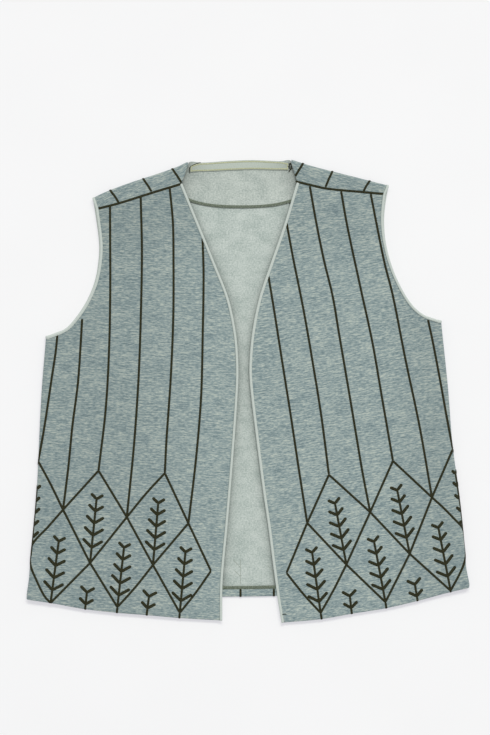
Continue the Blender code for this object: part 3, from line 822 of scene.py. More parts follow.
class Nodes:
    """Short ways to add and join the nodes of one material."""

    def __init__(self, name: str) -> None:
        """Makes the material.

        Args:
            name: the material's name.
        """
        self.material = bpy.data.materials.new(name)
        self.material.use_nodes = True
        self.tree = self.material.node_tree
        self.surface = self.tree.nodes["Principled BSDF"]

    def add(self, kind: str, **settings: object) -> bpy.types.Node:
        """Adds a node and sets its properties."""
        node = self.tree.nodes.new(kind)
        for key, value in settings.items():
            setattr(node, key, value)
        return node

    def join(self, source: bpy.types.NodeSocket, target: bpy.types.NodeSocket) -> None:
        """Joins two sockets."""
        self.tree.links.new(source, target)

    def cloth_place(self, scale: Sequence[float]) -> bpy.types.NodeSocket:
        """Place in the cloth, in metres of the flat cut, scaled."""
        uv = self.add("ShaderNodeUVMap", uv_map="cut")
        mapping = self.add("ShaderNodeMapping")
        mapping.inputs["Scale"].default_value = (*scale, 1)
        self.join(uv.outputs["UV"], mapping.inputs["Vector"])
        return mapping.outputs["Vector"]

    def axes(self) -> tuple[bpy.types.NodeSocket, bpy.types.NodeSocket]:
        """Distances across and along the cloth, in metres of the flat cut."""
        split = self.add("ShaderNodeSeparateXYZ")
        self.join(self.cloth_place((1, 1)), split.inputs[0])
        return split.outputs[0], split.outputs[1]

    def noise(self, place: bpy.types.NodeSocket, detail: float, rough: float) -> bpy.types.NodeSocket:
        """Noise over a place."""
        node = self.add("ShaderNodeTexNoise", noise_dimensions="2D")
        node.inputs["Scale"].default_value = 1.0
        node.inputs["Detail"].default_value = detail
        node.inputs["Roughness"].default_value = rough
        self.join(place, node.inputs["Vector"])
        return node.outputs["Fac"]

    def ramp(
        self, value: bpy.types.NodeSocket, stops: Sequence[tuple[float, tuple[float, ...]]],
    ) -> bpy.types.NodeSocket:
        """Colours for a value."""
        node = self.add("ShaderNodeValToRGB")
        elements = node.color_ramp.elements
        while len(elements) < len(stops):
            elements.new(0.5)
        for element, (position, colour) in zip(elements, stops):
            element.position = position
            element.color = (*colour, 1)
        self.join(value, node.inputs["Fac"])
        return node.outputs["Color"]

    def math(self, kind: str, a: object, b: object = 0.0) -> bpy.types.NodeSocket:
        """Arithmetic on sockets or numbers."""
        node = self.add("ShaderNodeMath", operation=kind)
        for socket, value in zip(node.inputs, (a, b)):
            if isinstance(value, (int, float)):
                socket.default_value = value
            else:
                self.join(value, socket)
        return node.outputs[0]

    def summed(self, parts: Sequence[tuple[bpy.types.NodeSocket, float]]) -> bpy.types.NodeSocket:
        """Sum of sockets, each times its own number."""
        scaled = [socket if times == 1 else self.math("MULTIPLY", socket, times) for socket, times in parts]
        total = scaled[0]
        for socket in scaled[1:]:
            total = self.math("ADD", total, socket)
        return total

    def blend(self, share: object, a: object, b: object) -> bpy.types.NodeSocket:
        """Mixes two colours."""
        node = self.add("ShaderNodeMix", data_type="RGBA")
        for socket, value in ((node.inputs[0], share), (node.inputs[6], a), (node.inputs[7], b)):
            if isinstance(value, (int, float)):
                socket.default_value = value
            elif isinstance(value, tuple):
                socket.default_value = (*value, 1)
            else:
                self.join(value, socket)
        return node.outputs[2]

    def with_painted_shade(self, colour: bpy.types.NodeSocket) -> bpy.types.NodeSocket:
        """A colour darkened by painted shade, by each vertex's shade amount."""
        depth = self.add("ShaderNodeAttribute", attribute_name="painted_shade")
        return self.blend(self.math("MULTIPLY", depth.outputs["Fac"], PAINTED_SHADE_STRENGTH), colour, PAINTED_SHADE_COLOUR)

    def dress(self, colour: bpy.types.NodeSocket, **constants: float) -> None:
        """Gives the surface its colour and its constant values, with _ for each space in their names."""
        self.join(colour, self.surface.inputs["Base Color"])
        for name, value in constants.items():
            self.surface.inputs[name.replace("_", " ")].default_value = value

    def bump(self, height: bpy.types.NodeSocket, strength: float, distance: float) -> None:
        """Adds relief to the surface."""
        node = self.add("ShaderNodeBump")
        node.inputs["Strength"].default_value = strength
        node.inputs["Distance"].default_value = distance
        self.join(height, node.inputs["Height"])
        self.join(node.outputs["Normal"], self.surface.inputs["Normal"])


def linear(red: float, green: float, blue: float) -> tuple[float, float, float]:
    """A colour given as 0 to 255 on screen, as the renderer takes it."""
    values = []
    for value in (red, green, blue):
        share = value / 255
        values.append(share / 12.92 if share <= 0.04045 else ((share + 0.055) / 1.055) ** 2.4)
    return tuple(values)


@dataclass(frozen=True)
class MelangeKnit:
    """Face of the sweatshirt knit: fine rows of stitches in mixed blue-grey and sage yarn."""

    dark: tuple[float, float, float] = (106, 126, 130)
    body: tuple[float, float, float] = (141, 158, 158)
    light: tuple[float, float, float] = (182, 192, 182)
    fleck: tuple[float, float, float] = (196, 203, 186)
    fleck_share: float = 0.35
    wale_width: float = 1.45 * MM
    course_height: float = 1.05 * MM
    stitch_lean: float = 1.9
    roughness: float = 0.93
    relief: float = 0.28 * MM

    def make(self) -> bpy.types.Material:
        """Builds the material."""
        nodes = Nodes("melange_knit_face")
        long = nodes.noise(nodes.cloth_place((62, 520)), 2, 0.6)
        short = nodes.noise(nodes.cloth_place((190, 780)), 2, 0.6)
        patch = nodes.noise(nodes.cloth_place((22, 60)), 2, 0.5)
        streak = nodes.summed(((long, 0.40), (short, 0.48), (patch, 0.12)))
        colour = nodes.ramp(
            streak, ((0.37, linear(*self.dark)), (0.5, linear(*self.body)), (0.63, linear(*self.light))),
        )
        fleck = nodes.noise(nodes.cloth_place((420, 2600)), 2, 0.5)
        fleck = nodes.ramp(fleck, ((0.60, (0, 0, 0)), (0.72, (1, 1, 1))))
        colour = nodes.blend(nodes.math("MULTIPLY", fleck, self.fleck_share), colour, linear(*self.fleck))
        nodes.dress(nodes.with_painted_shade(colour), Roughness=self.roughness, Sheen_Weight=0.15, Sheen_Roughness=0.6)
        nodes.bump(nodes.summed(((self.stitches(nodes), 1), (short, 0.8))), 0.55, self.relief)
        return nodes.material

    def stitches(self, nodes: Nodes) -> bpy.types.NodeSocket:
        """Relief of the V-shaped stitches."""
        across, along = nodes.axes()
        wave = nodes.math("SINE", nodes.math("MULTIPLY", across, math.pi / self.wale_width))
        legs = nodes.math("ABSOLUTE", wave)
        course = nodes.summed(((along, 2 * math.pi / self.course_height), (legs, self.stitch_lean)))
        return nodes.summed(((legs, 0.7), (nodes.math("SINE", course), 0.5)))


@dataclass(frozen=True)
class BrushedInside:
    """Brushed reverse of the knit: pale, soft and slightly matted."""

    dark: tuple[float, float, float] = (152, 166, 159)
    light: tuple[float, float, float] = (194, 203, 196)
    roughness: float = 0.97
    relief: float = 0.4 * MM

    def make(self, name: str = "brushed_inside") -> bpy.types.Material:
        """Builds the material."""
        nodes = Nodes(name)
        nap = nodes.noise(nodes.cloth_place((430, 520)), 3, 0.65)
        broad = nodes.noise(nodes.cloth_place((40, 60)), 3, 0.6)
        value = nodes.summed(((nap, 0.65), (broad, 0.35)))
        colour = nodes.ramp(value, ((0.34, linear(*self.dark)), (0.62, linear(*self.light))))
        nodes.dress(nodes.with_painted_shade(colour), Roughness=self.roughness, Sheen_Weight=0.3, Sheen_Roughness=0.7)
        nodes.bump(nap, 0.5, self.relief)
        return nodes.material


@dataclass(frozen=True)
class EdgeBinding:
    """Narrow binding cut from the same knit, with its pale side out and ribs along it.

    Its stitched inner edge is sunk into the panel and takes a painted seam shade, a darker line there.
    """

    colour: tuple[float, float, float] = (197, 205, 198)
    shade: tuple[float, float, float] = (180, 190, 183)
    painted_seam_shade: tuple[float, float, float] | None = (122, 135, 130)
    seam_reach: float = 1.0 * MM
    rib: float = 1.1 * MM
    roughness: float = 0.94
    relief: float = 0.2 * MM

    def make(self, name: str = "edge_binding") -> bpy.types.Material:
        """Builds the material."""
        nodes = Nodes(name)
        grain = nodes.noise(nodes.cloth_place((700, 1400)), 3, 0.6)
        colour = nodes.ramp(grain, ((0.32, linear(*self.shade)), (0.55, linear(*self.colour))))
        across, _ = nodes.axes()
        # Painted shade: a darker line along the stitched inner edge
        if self.painted_seam_shade:
            inside = nodes.math("DIVIDE", across, self.seam_reach)
            seam = nodes.ramp(inside, ((0.45, (1, 1, 1)), (1.0, (0, 0, 0))))
            colour = nodes.blend(seam, colour, linear(*self.painted_seam_shade))
        nodes.dress(nodes.with_painted_shade(colour), Roughness=self.roughness, Sheen_Weight=0.2)
        rib = nodes.math("SINE", nodes.math("MULTIPLY", across, 2 * math.pi / self.rib))
        nodes.bump(nodes.summed(((rib, 0.4), (grain, 1))), 0.4, self.relief)
        return nodes.material


@dataclass(frozen=True)
class Thread:
    """Sewing or embroidery thread, laid as a run of slanted strands."""

    name: str
    colour: tuple[float, float, float]
    glint: tuple[float, float, float]
    strand: float = 0.55 * MM
    roughness: float = 0.62
    relief: float = 0.12 * MM

    def make(self) -> bpy.types.Material:
        """Builds the material."""
        nodes = Nodes(self.name)
        along, across = nodes.axes()
        slanted = nodes.summed(((along, 1), (across, 0.9)))
        strands = nodes.math("SINE", nodes.math("MULTIPLY", slanted, 2 * math.pi / self.strand))
        grain = nodes.noise(nodes.cloth_place((600, 600)), 2, 0.5)
        value = nodes.summed(((strands, 0.22), (grain, 1)))
        colour = nodes.ramp(value, ((0.42, linear(*self.colour)), (0.86, linear(*self.glint))))
        nodes.dress(colour, Roughness=self.roughness, Specular_IOR_Level=0.2)
        nodes.bump(strands, 0.6, self.relief)
        return nodes.material


class Wardrobe:
    """The vest's finishes, each made once."""

    def __init__(self) -> None:
        """Builds the materials."""
        self.face = MelangeKnit().make()
        self.inside = BrushedInside().make()
        self.facing = BrushedInside((150, 162, 155), (193, 201, 193)).make("facing_inside")
        self.binding = EdgeBinding().make()
        self.tape = EdgeBinding((186, 195, 184), (168, 178, 167), None).make("tape_cloth")
        self.olive = Thread("olive_embroidery", (29, 29, 11), (67, 68, 39)).make()
        self.overlock = Thread("olive_overlock", (93, 103, 87), (143, 152, 137)).make()
        self.yellow = Thread("yellow_green_thread", (176, 180, 146), (206, 209, 174)).make()
        self.bobbin = Thread("bobbin_thread", (158, 168, 158), (178, 186, 175)).make()


def new_piece(
    name: str, vertices: np.ndarray, faces: np.ndarray, uv: np.ndarray,
    materials: Sequence[bpy.types.Material], face_materials: np.ndarray | None = None,
    painted_shade: np.ndarray | None = None,
) -> bpy.types.Object:
    """Makes a mesh object of four-sided faces that rides on the vest.

    Args:
        name: the piece's name.
        vertices: points, (n, 3).
        faces: corners of each face, (m, 4).
        uv: place of each vertex in the flat cut, in metres.
        materials: finishes.
        face_materials: which finish each face has.
        painted_shade: how much painted shade each vertex takes, 0 to 1.

    Returns:
        The object.
    """
    mesh = bpy.data.meshes.new(name)
    mesh.vertices.add(len(vertices))
    mesh.vertices.foreach_set("co", vertices.astype(np.float32).ravel())
    mesh.loops.add(faces.size)
    mesh.loops.foreach_set("vertex_index", faces.astype(np.int32).ravel())
    mesh.polygons.add(len(faces))
    mesh.polygons.foreach_set("loop_start", np.arange(len(faces), dtype=np.int32) * 4)
    layer = mesh.uv_layers.new(name="cut")
    layer.data.foreach_set("uv", uv[faces.ravel()].astype(np.float32).ravel())
    # Painted shade: how much each vertex is darkened in the cloth's materials
    if painted_shade is not None:
        depth = mesh.attributes.new("painted_shade", "FLOAT", "POINT")
        depth.data.foreach_set("value", painted_shade.astype(np.float32))
    for material in materials:
        mesh.materials.append(material)
    if face_materials is not None:
        mesh.polygons.foreach_set("material_index", face_materials.astype(np.int32))
    mesh.update()
    mesh.validate()
    mesh.shade_smooth()
    made = bpy.data.objects.new(name, mesh)
    bpy.context.scene.collection.objects.link(made)
    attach(made, "root")
    log.info("%s: %d faces", name, len(faces))
    return made


@dataclass
class ClothShell:
    """A thin closed sheet of cloth with an outer side, an inner side and cut edges."""

    name: str
    sheet: np.ndarray
    place: Placing
    thickness: float
    materials: Sequence[bpy.types.Material]
    # Painted shade amount of each sheet point
    painted_shade: Callable[[np.ndarray], np.ndarray]
    grain_degrees: float = 0.0
    outer_up: bool = True
    cut: Callable[[np.ndarray], np.ndarray] | None = None

    def make(self) -> bpy.types.Object:
        """Builds the shell.

        Returns:
            The object, with finish 0 on its outer side and finish 1 on the inner side and edges.
        """
        rows, columns, _ = self.sheet.shape
        held = ~np.isnan(self.sheet[..., 0])
        number = np.full((rows, columns), -1)
        number[held] = np.arange(held.sum())
        flat = self.sheet[held]
        half = np.full(len(flat), self.thickness / 2)
        outer = self.place(flat[:, 0], flat[:, 1], half)
        inner = self.place(flat[:, 0], flat[:, 1], -half)
        corners = np.stack([number[:-1, :-1], number[:-1, 1:], number[1:, 1:], number[1:, :-1]], -1)
        quads = corners[(corners >= 0).all(-1)]
        if not self.outer_up:
            quads = quads[:, ::-1]
        count = len(flat)
        edges = np.stack([quads, np.roll(quads, -1, 1)], -1).reshape(-1, 2)
        keys = edges[:, 0] * count + edges[:, 1]
        twins = edges[:, 1] * count + edges[:, 0]
        border = edges[~np.isin(keys, twins)]
        rim = np.stack([border[:, 1], border[:, 0], border[:, 0] + count, border[:, 1] + count], -1)
        faces = np.concatenate([quads, quads[:, ::-1] + count, rim])
        finish = np.concatenate([np.zeros(len(quads)), np.ones(len(quads) + len(rim))])
        cut = self.turned(flat) if self.cut is None else self.cut(flat)
        depth = self.painted_shade(flat)
        return new_piece(
            self.name, np.concatenate([outer, inner]), faces, np.concatenate([cut, cut]), self.materials,
            finish, np.concatenate([depth, depth]),
        )

    def turned(self, flat: np.ndarray) -> np.ndarray:
        """Sheet points turned so that the knit's rows lie level."""
        turn = math.radians(self.grain_degrees)
        cos, sin, (x, y) = math.cos(turn), math.sin(turn), flat.T
        return np.stack([x * cos + y * sin, y * cos - x * sin], -1)


@dataclass
class EdgeBand:
    """A binding folded over a cloth edge, with a stitched groove near its inner edge."""

    name: str
    points: np.ndarray
    inwards: np.ndarray
    closed: bool
    material: bpy.types.Material
    width: float = BAND_WIDTH - 0.4 * MM
    proud: float = BAND_PROUD - 0.2 * MM
    stitch: float = 2.4 * MM
    groove: float = 0.45 * MM
    groove_least: float = 0.45
    clearance: float = 0.06 * MM
    edge_clearance: float = 0.1 * MM

    def section(self) -> np.ndarray:
        """The band's section, as a closed loop.

        Returns:
            Rows of distance into the cloth, height and share of the groove: the outer chain from the upper
            inner edge round to the lower one, then the inner chain back.
        """
        near, far, out = CLOTH / 2 + self.clearance, CLOTH / 2 + self.proud, self.proud
        upper = np.array([
            (self.width, far * 0.66, 0.0),
            (self.width * 0.97, far * 0.83, 0.0),
            (self.width * 0.86, far * 0.88, 0.3),
            (self.width * 0.74, far * 0.86, 1.0),
            (self.width * 0.60, far * 0.92, 0.3),
            (self.width * 0.38, far * 1.0, 0.0),
            (self.width * 0.10, far * 0.98, 0.0),
            (-out * 0.40, far * 0.85, 0.0),
            (-out * 0.85, far * 0.52, 0.0),
            (-out, 0.0, 0.0),
        ])
        outer = np.concatenate([upper, (upper * (1, -1, 1))[:-1][::-1]])
        inner = outer.copy()
        inner[:, 0] = np.maximum(outer[:, 0], -self.edge_clearance)
        inner[:, 1] = np.clip(outer[:, 1], -near, near)
        inner[:, 2] = 0
        return np.concatenate([outer, inner[::-1]])

    def make(self) -> bpy.types.Object:
        """Builds the band.

        Returns:
            The object.
        """
        section = self.section()
        points, inwards = self.points, unit(self.inwards)
        along = np.roll(points, -1, 0) - np.roll(points, 1, 0) if self.closed else np.gradient(points, axis=0)
        normal = unit(np.cross(unit(along), inwards))
        lengths = lengths_along(points)
        dent = 0.5 + 0.5 * np.cos(2 * np.pi * lengths / self.stitch)
        depth, rise, share = section.T
        dip = share * mix(self.groove_least, 1, dent[:, None]) * self.groove
        height = rise - np.sign(rise) * dip
        vertices = points[:, None] + inwards[:, None] * depth[:, None] + normal[:, None] * height[..., None]
        count, ring = vertices.shape[:2]
        around = lengths_along(section[:, :2])
        cut = np.stack(np.broadcast_arrays(around[None], lengths[:, None]), -1)
        number = np.arange(count * ring).reshape(count, ring)
        after = np.roll(number, -1, 0) if self.closed else number[1:]
        before = number if self.closed else number[:-1]
        faces = np.stack([before, np.roll(before, -1, 1), np.roll(after, -1, 1), after], -1).reshape(-1, 4)
        if not self.closed:
            faces = np.concatenate([faces, self.cap(number[0])[:, ::-1], self.cap(number[-1])])
        volume = np.einsum("ij,ij->i", np.cross(inwards, normal), unit(along)).mean()
        if volume < 0:
            faces = faces[:, ::-1]
        return new_piece(self.name, vertices.reshape(-1, 3), faces, cut.reshape(-1, 2), [self.material])

    @staticmethod
    def cap(ring: np.ndarray) -> np.ndarray:
        """Faces that close one end, between the outer and the inner chain."""
        half = len(ring) // 2
        outer, inner = ring[:half], ring[half:][::-1]
        return np.stack([outer[:-1], outer[1:], inner[1:], inner[:-1]], -1)


@dataclass(frozen=True)
class Run:
    """One line of thread: its points in the sheet, its width and height."""

    points: np.ndarray
    width: float
    height: float


@dataclass
class Embroidery:
    """Raised lines of thread that follow a sheet of cloth.

    The stitches make the thread swell and sink by the ripple. Heights lift single runs off the cloth.
    """

    name: str
    place: Placing
    material: bpy.types.Material
    runs: list[Run] = field(default_factory=list)
    heights: list[float] = field(default_factory=list)
    stitch: float = 2.0 * MM
    step: float = 0.55 * MM
    base: float = CLOTH / 2
    ripple: float = 0.22
    side_ripple: float = 0.4

    # Section of a line: shares of its half width and of its height, sunk at both sides
    ACROSS = np.array((-1.0, -0.86, -0.45, 0.0, 0.45, 0.86, 1.0))
    RISE = np.array((-0.12, 0.45, 0.9, 1.0, 0.9, 0.45, -0.12))
    THINNEST_END = 0.03

    def line(self, points: Rows, width: float, height: float) -> None:
        """Adds a line.

        Args:
            points: x and y in millimetres.
            width: full width of the line.
            height: how far it stands off the cloth.
        """
        self.runs.append(Run(SmoothLine(points).points, width, height))

    def make(self) -> bpy.types.Object:
        """Builds all the lines as one mesh.

        Returns:
            The object.
        """
        vertices, faces, cuts = [], [], []
        total = 0
        for k, run in enumerate(self.runs):
            lengths = lengths_along(run.points)
            count = max(int(lengths[-1] / self.step), 4)
            s = np.linspace(0, lengths[-1], count + 1)
            centre = np.stack([np.interp(s, lengths, run.points[:, axis]) for axis in (0, 1)], -1)
            along = unit(np.gradient(centre, axis=0))
            side = np.stack([-along[:, 1], along[:, 0]], -1)
            wave = np.abs(np.sin(np.pi * s / self.stitch))
            half = run.width / 2
            ends = np.minimum(s, s[-1] - s)
            cap = np.sqrt(np.clip(1 - (1 - np.clip(ends / half, 0, 1)) ** 2, self.THINNEST_END, 1))
            half_width = half * (1 - self.side_ripple * self.ripple * (1 - wave)) * cap
            height = run.height * (1 - self.ripple * (1 - wave)) * np.sqrt(cap)
            across = half_width[:, None] * self.ACROSS
            flat = (centre[:, None] + side[:, None] * across[..., None]).reshape(-1, 2)
            lift = self.base + height[:, None] * self.RISE
            if self.heights:
                lift = lift + self.heights[k]
            vertices.append(self.place(flat[:, 0], flat[:, 1], lift.ravel()))
            cuts.append(np.stack(np.broadcast_arrays(s[:, None], across), -1).reshape(-1, 2))
            number = np.arange(len(flat)).reshape(across.shape) + total
            quads = np.stack([number[:-1, :-1], number[1:, :-1], number[1:, 1:], number[:-1, 1:]], -1)
            faces.append(quads.reshape(-1, 4))
            total += len(flat)
        return new_piece(
            self.name, np.concatenate(vertices), np.concatenate(faces), np.concatenate(cuts), [self.material],
        )


class SeamSurface:
    """The top of one shoulder seam, where the front and the back's strip meet."""

    def __init__(self, front: FrontSurface) -> None:
        """Keeps the seam's line.

        Args:
            front: the front on that side.
        """
        self.seam = front.seam

    def place(self, a: np.ndarray, b: np.ndarray, n: np.ndarray) -> np.ndarray:
        """Places plan points at a height above the middle of the cloth."""
        start, end = self.seam.points[0, 0], self.seam.points[-1, 0]
        share = (a - start) / (end - start)
        return np.stack([a, b, shoulder_height(share) + n], -1)


def level(height: float) -> Placing:
    """A placing on a level plane at this height."""

    def place(a: np.ndarray, b: np.ndarray, n: np.ndarray) -> np.ndarray:
        """Places points above the plane."""
        return np.stack([a, b, height + n], -1)

    return place


@dataclass
class Panels:
    """The three panels of knit cloth."""

    wardrobe: Wardrobe
    columns: int = 100
    shoulder_columns: int = 52
    neck_columns: int = 52
    rows_below: int = 130
    rows_above: int = 84
    back_flat: tuple[float, float] = (0.566, 0.646)
    back_area: float = 0.294
    front_flat: tuple[float, float] = (0.29, 0.615)

    def __post_init__(self) -> None:
        """Prepares the surfaces and their sheets."""
        self.front_areas = {Side.RIGHT: 0.1413, Side.LEFT: 0.1426}
        self.fronts = {outline.side: FrontSurface(outline) for outline in (RIGHT_OUTLINE, LEFT_OUTLINE)}
        self.back = BackSurface(self.fronts)
        self.front_sheets = {
            side: front.sheet(self.columns, self.rows_below, self.rows_above)
            for side, front in self.fronts.items()
        }
        self.back_sheet = self.back.sheet(
            self.shoulder_columns, self.neck_columns, self.rows_below, self.rows_above,
        )

    def make(self) -> None:
        """Builds the panels."""
        finishes = [self.wardrobe.face, self.wardrobe.inside]
        back = ClothShell(
            "back_panel", self.back_sheet, self.back.place, CLOTH, finishes, self.back.painted_shade,
            outer_up=False, cut=self.back.cut,
        ).make()
        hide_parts("back")
        for side, sheet in self.front_sheets.items():
            front = self.fronts[side]
            piece = ClothShell(
                f"{side.label}_front_panel", sheet, front.place, CLOTH, finishes, front.painted_shade,
                grain_degrees=front.outline.grain_degrees, outer_up=side is Side.LEFT,
            ).make()
            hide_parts(f"front_{side.label}")


def inward_frames(place: Placing, line: np.ndarray, inwards: np.ndarray) -> tuple[np.ndarray, np.ndarray]:
    """Places a cloth edge in space, with the direction into the cloth.

    Args:
        place: the cloth's placing.
        line: sheet points of the edge.
        inwards: directions into the sheet at those points.

    Returns:
        Points of the middle of the cloth, and directions in space.
    """
    zero = np.zeros(len(line))
    points = place(line[:, 0], line[:, 1], zero)
    near = line + inwards * (0.5 * MM)
    return points, unit(place(near[:, 0], near[:, 1], zero) - points)


def square_to(line: np.ndarray, towards: np.ndarray) -> np.ndarray:
    """Directions square to a sheet line, on the side of given directions."""
    along = unit(np.gradient(line, axis=0))
    square = np.stack([-along[:, 1], along[:, 0]], -1)
    return np.where((square * towards).sum(-1, keepdims=True) < 0, -square, square)


@dataclass
class Bindings:
    """The pale bindings of both front edges and both armholes."""

    wardrobe: Wardrobe
    panels: Panels
    end_margin: float = 0.3 * MM
    front_step: float = 1.2 * MM
    armhole_step: float = 1.1 * MM
    flat_width: float = 0.01

    def make(self) -> None:
        """Builds the four bindings."""
        for side in Side:
            self.front_edge(side)
            self.armhole(side)

    def front_edge(self, side: Side) -> None:
        """Builds the binding of one front edge."""
        front = self.panels.fronts[side]
        low = front.hem.y_at(front.edge.points[0, 0]) + self.end_margin
        high = front.outline.shoulder_seam[-1][1] * MM - SEAM_GAP / 2 - self.end_margin
        y = np.linspace(low, high, int((high - low) / self.front_step))
        line = np.stack([front.edge.x_at(y) + front.sign * BAND_PROUD, y], -1)
        inwards = square_to(line, np.array([[front.sign, 0.0]]))
        level_y = np.maximum(y, front.hem_start(line[:, 0]))
        points, directions = inward_frames(front.place, np.stack([line[:, 0], level_y], -1), inwards)
        points[:, 1] = y
        self.finish(f"front_binding_{side.label}", f"front_band_{side.label}", points, directions, False)

    def armhole(self, side: Side) -> None:
        """Builds the binding round one armhole: up the front, down the back and along the side's turn."""
        front, back = self.panels.fronts[side], self.panels.back
        sheet, whole = self.panels.front_sheets[side], self.panels.back_sheet
        under = HEM_STEPS + self.panels.rows_below
        to_middle = np.array([[-side.value, 0.0]])
        up_front = sheet[under + 1:-1, self.panels.columns]
        outer, next_in = (0, 1) if side is Side.RIGHT else (-1, -2)
        edge = whole[under + 1:, outer][::-1]
        edge_in = unit(whole[under + 1:, next_in][::-1] - edge)
        flat = len(edge) - self.panels.rows_above
        edge_in[flat:] = square_to(edge, to_middle)[flat:]
        turn = sheet[under, self.panels.columns:][::-1]
        parts = (
            inward_frames(front.place, up_front, square_to(up_front, to_middle)),
            inward_frames(back.place, edge, edge_in),
            inward_frames(front.place, turn, np.repeat(np.array([[0.0, -1.0]]), len(turn), 0)),
        )
        points, directions = self.evened(*(np.concatenate(rows) for rows in zip(*parts)))
        self.finish(f"armhole_binding_{side.label}", f"armhole_band_{side.label}", points, directions, True)

    def evened(self, points: np.ndarray, directions: np.ndarray) -> tuple[np.ndarray, np.ndarray]:
        """Spaces a closed line's stations evenly and softens its corners."""
        closed = np.concatenate([points, points[:1]])
        turned = np.concatenate([directions, directions[:1]])
        lengths = lengths_along(closed)
        count = int(lengths[-1] / self.armhole_step)
        wanted = np.arange(count) * lengths[-1] / count
        even = np.stack([np.interp(wanted, lengths, closed[:, k]) for k in range(3)], -1)
        ways = np.stack([np.interp(wanted, lengths, turned[:, k]) for k in range(3)], -1)
        for _ in range(3):
            ways = unit(0.25 * np.roll(ways, 1, 0) + 0.5 * ways + 0.25 * np.roll(ways, -1, 0))
        for _ in range(2):
            even = 0.25 * np.roll(even, 1, 0) + 0.5 * even + 0.25 * np.roll(even, -1, 0)
        return even, ways

    def finish(self, name: str, node: str, points: np.ndarray, inwards: np.ndarray, closed: bool) -> None:
        piece = EdgeBand(name, points, inwards, closed, self.wardrobe.binding).make()
        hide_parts(node)


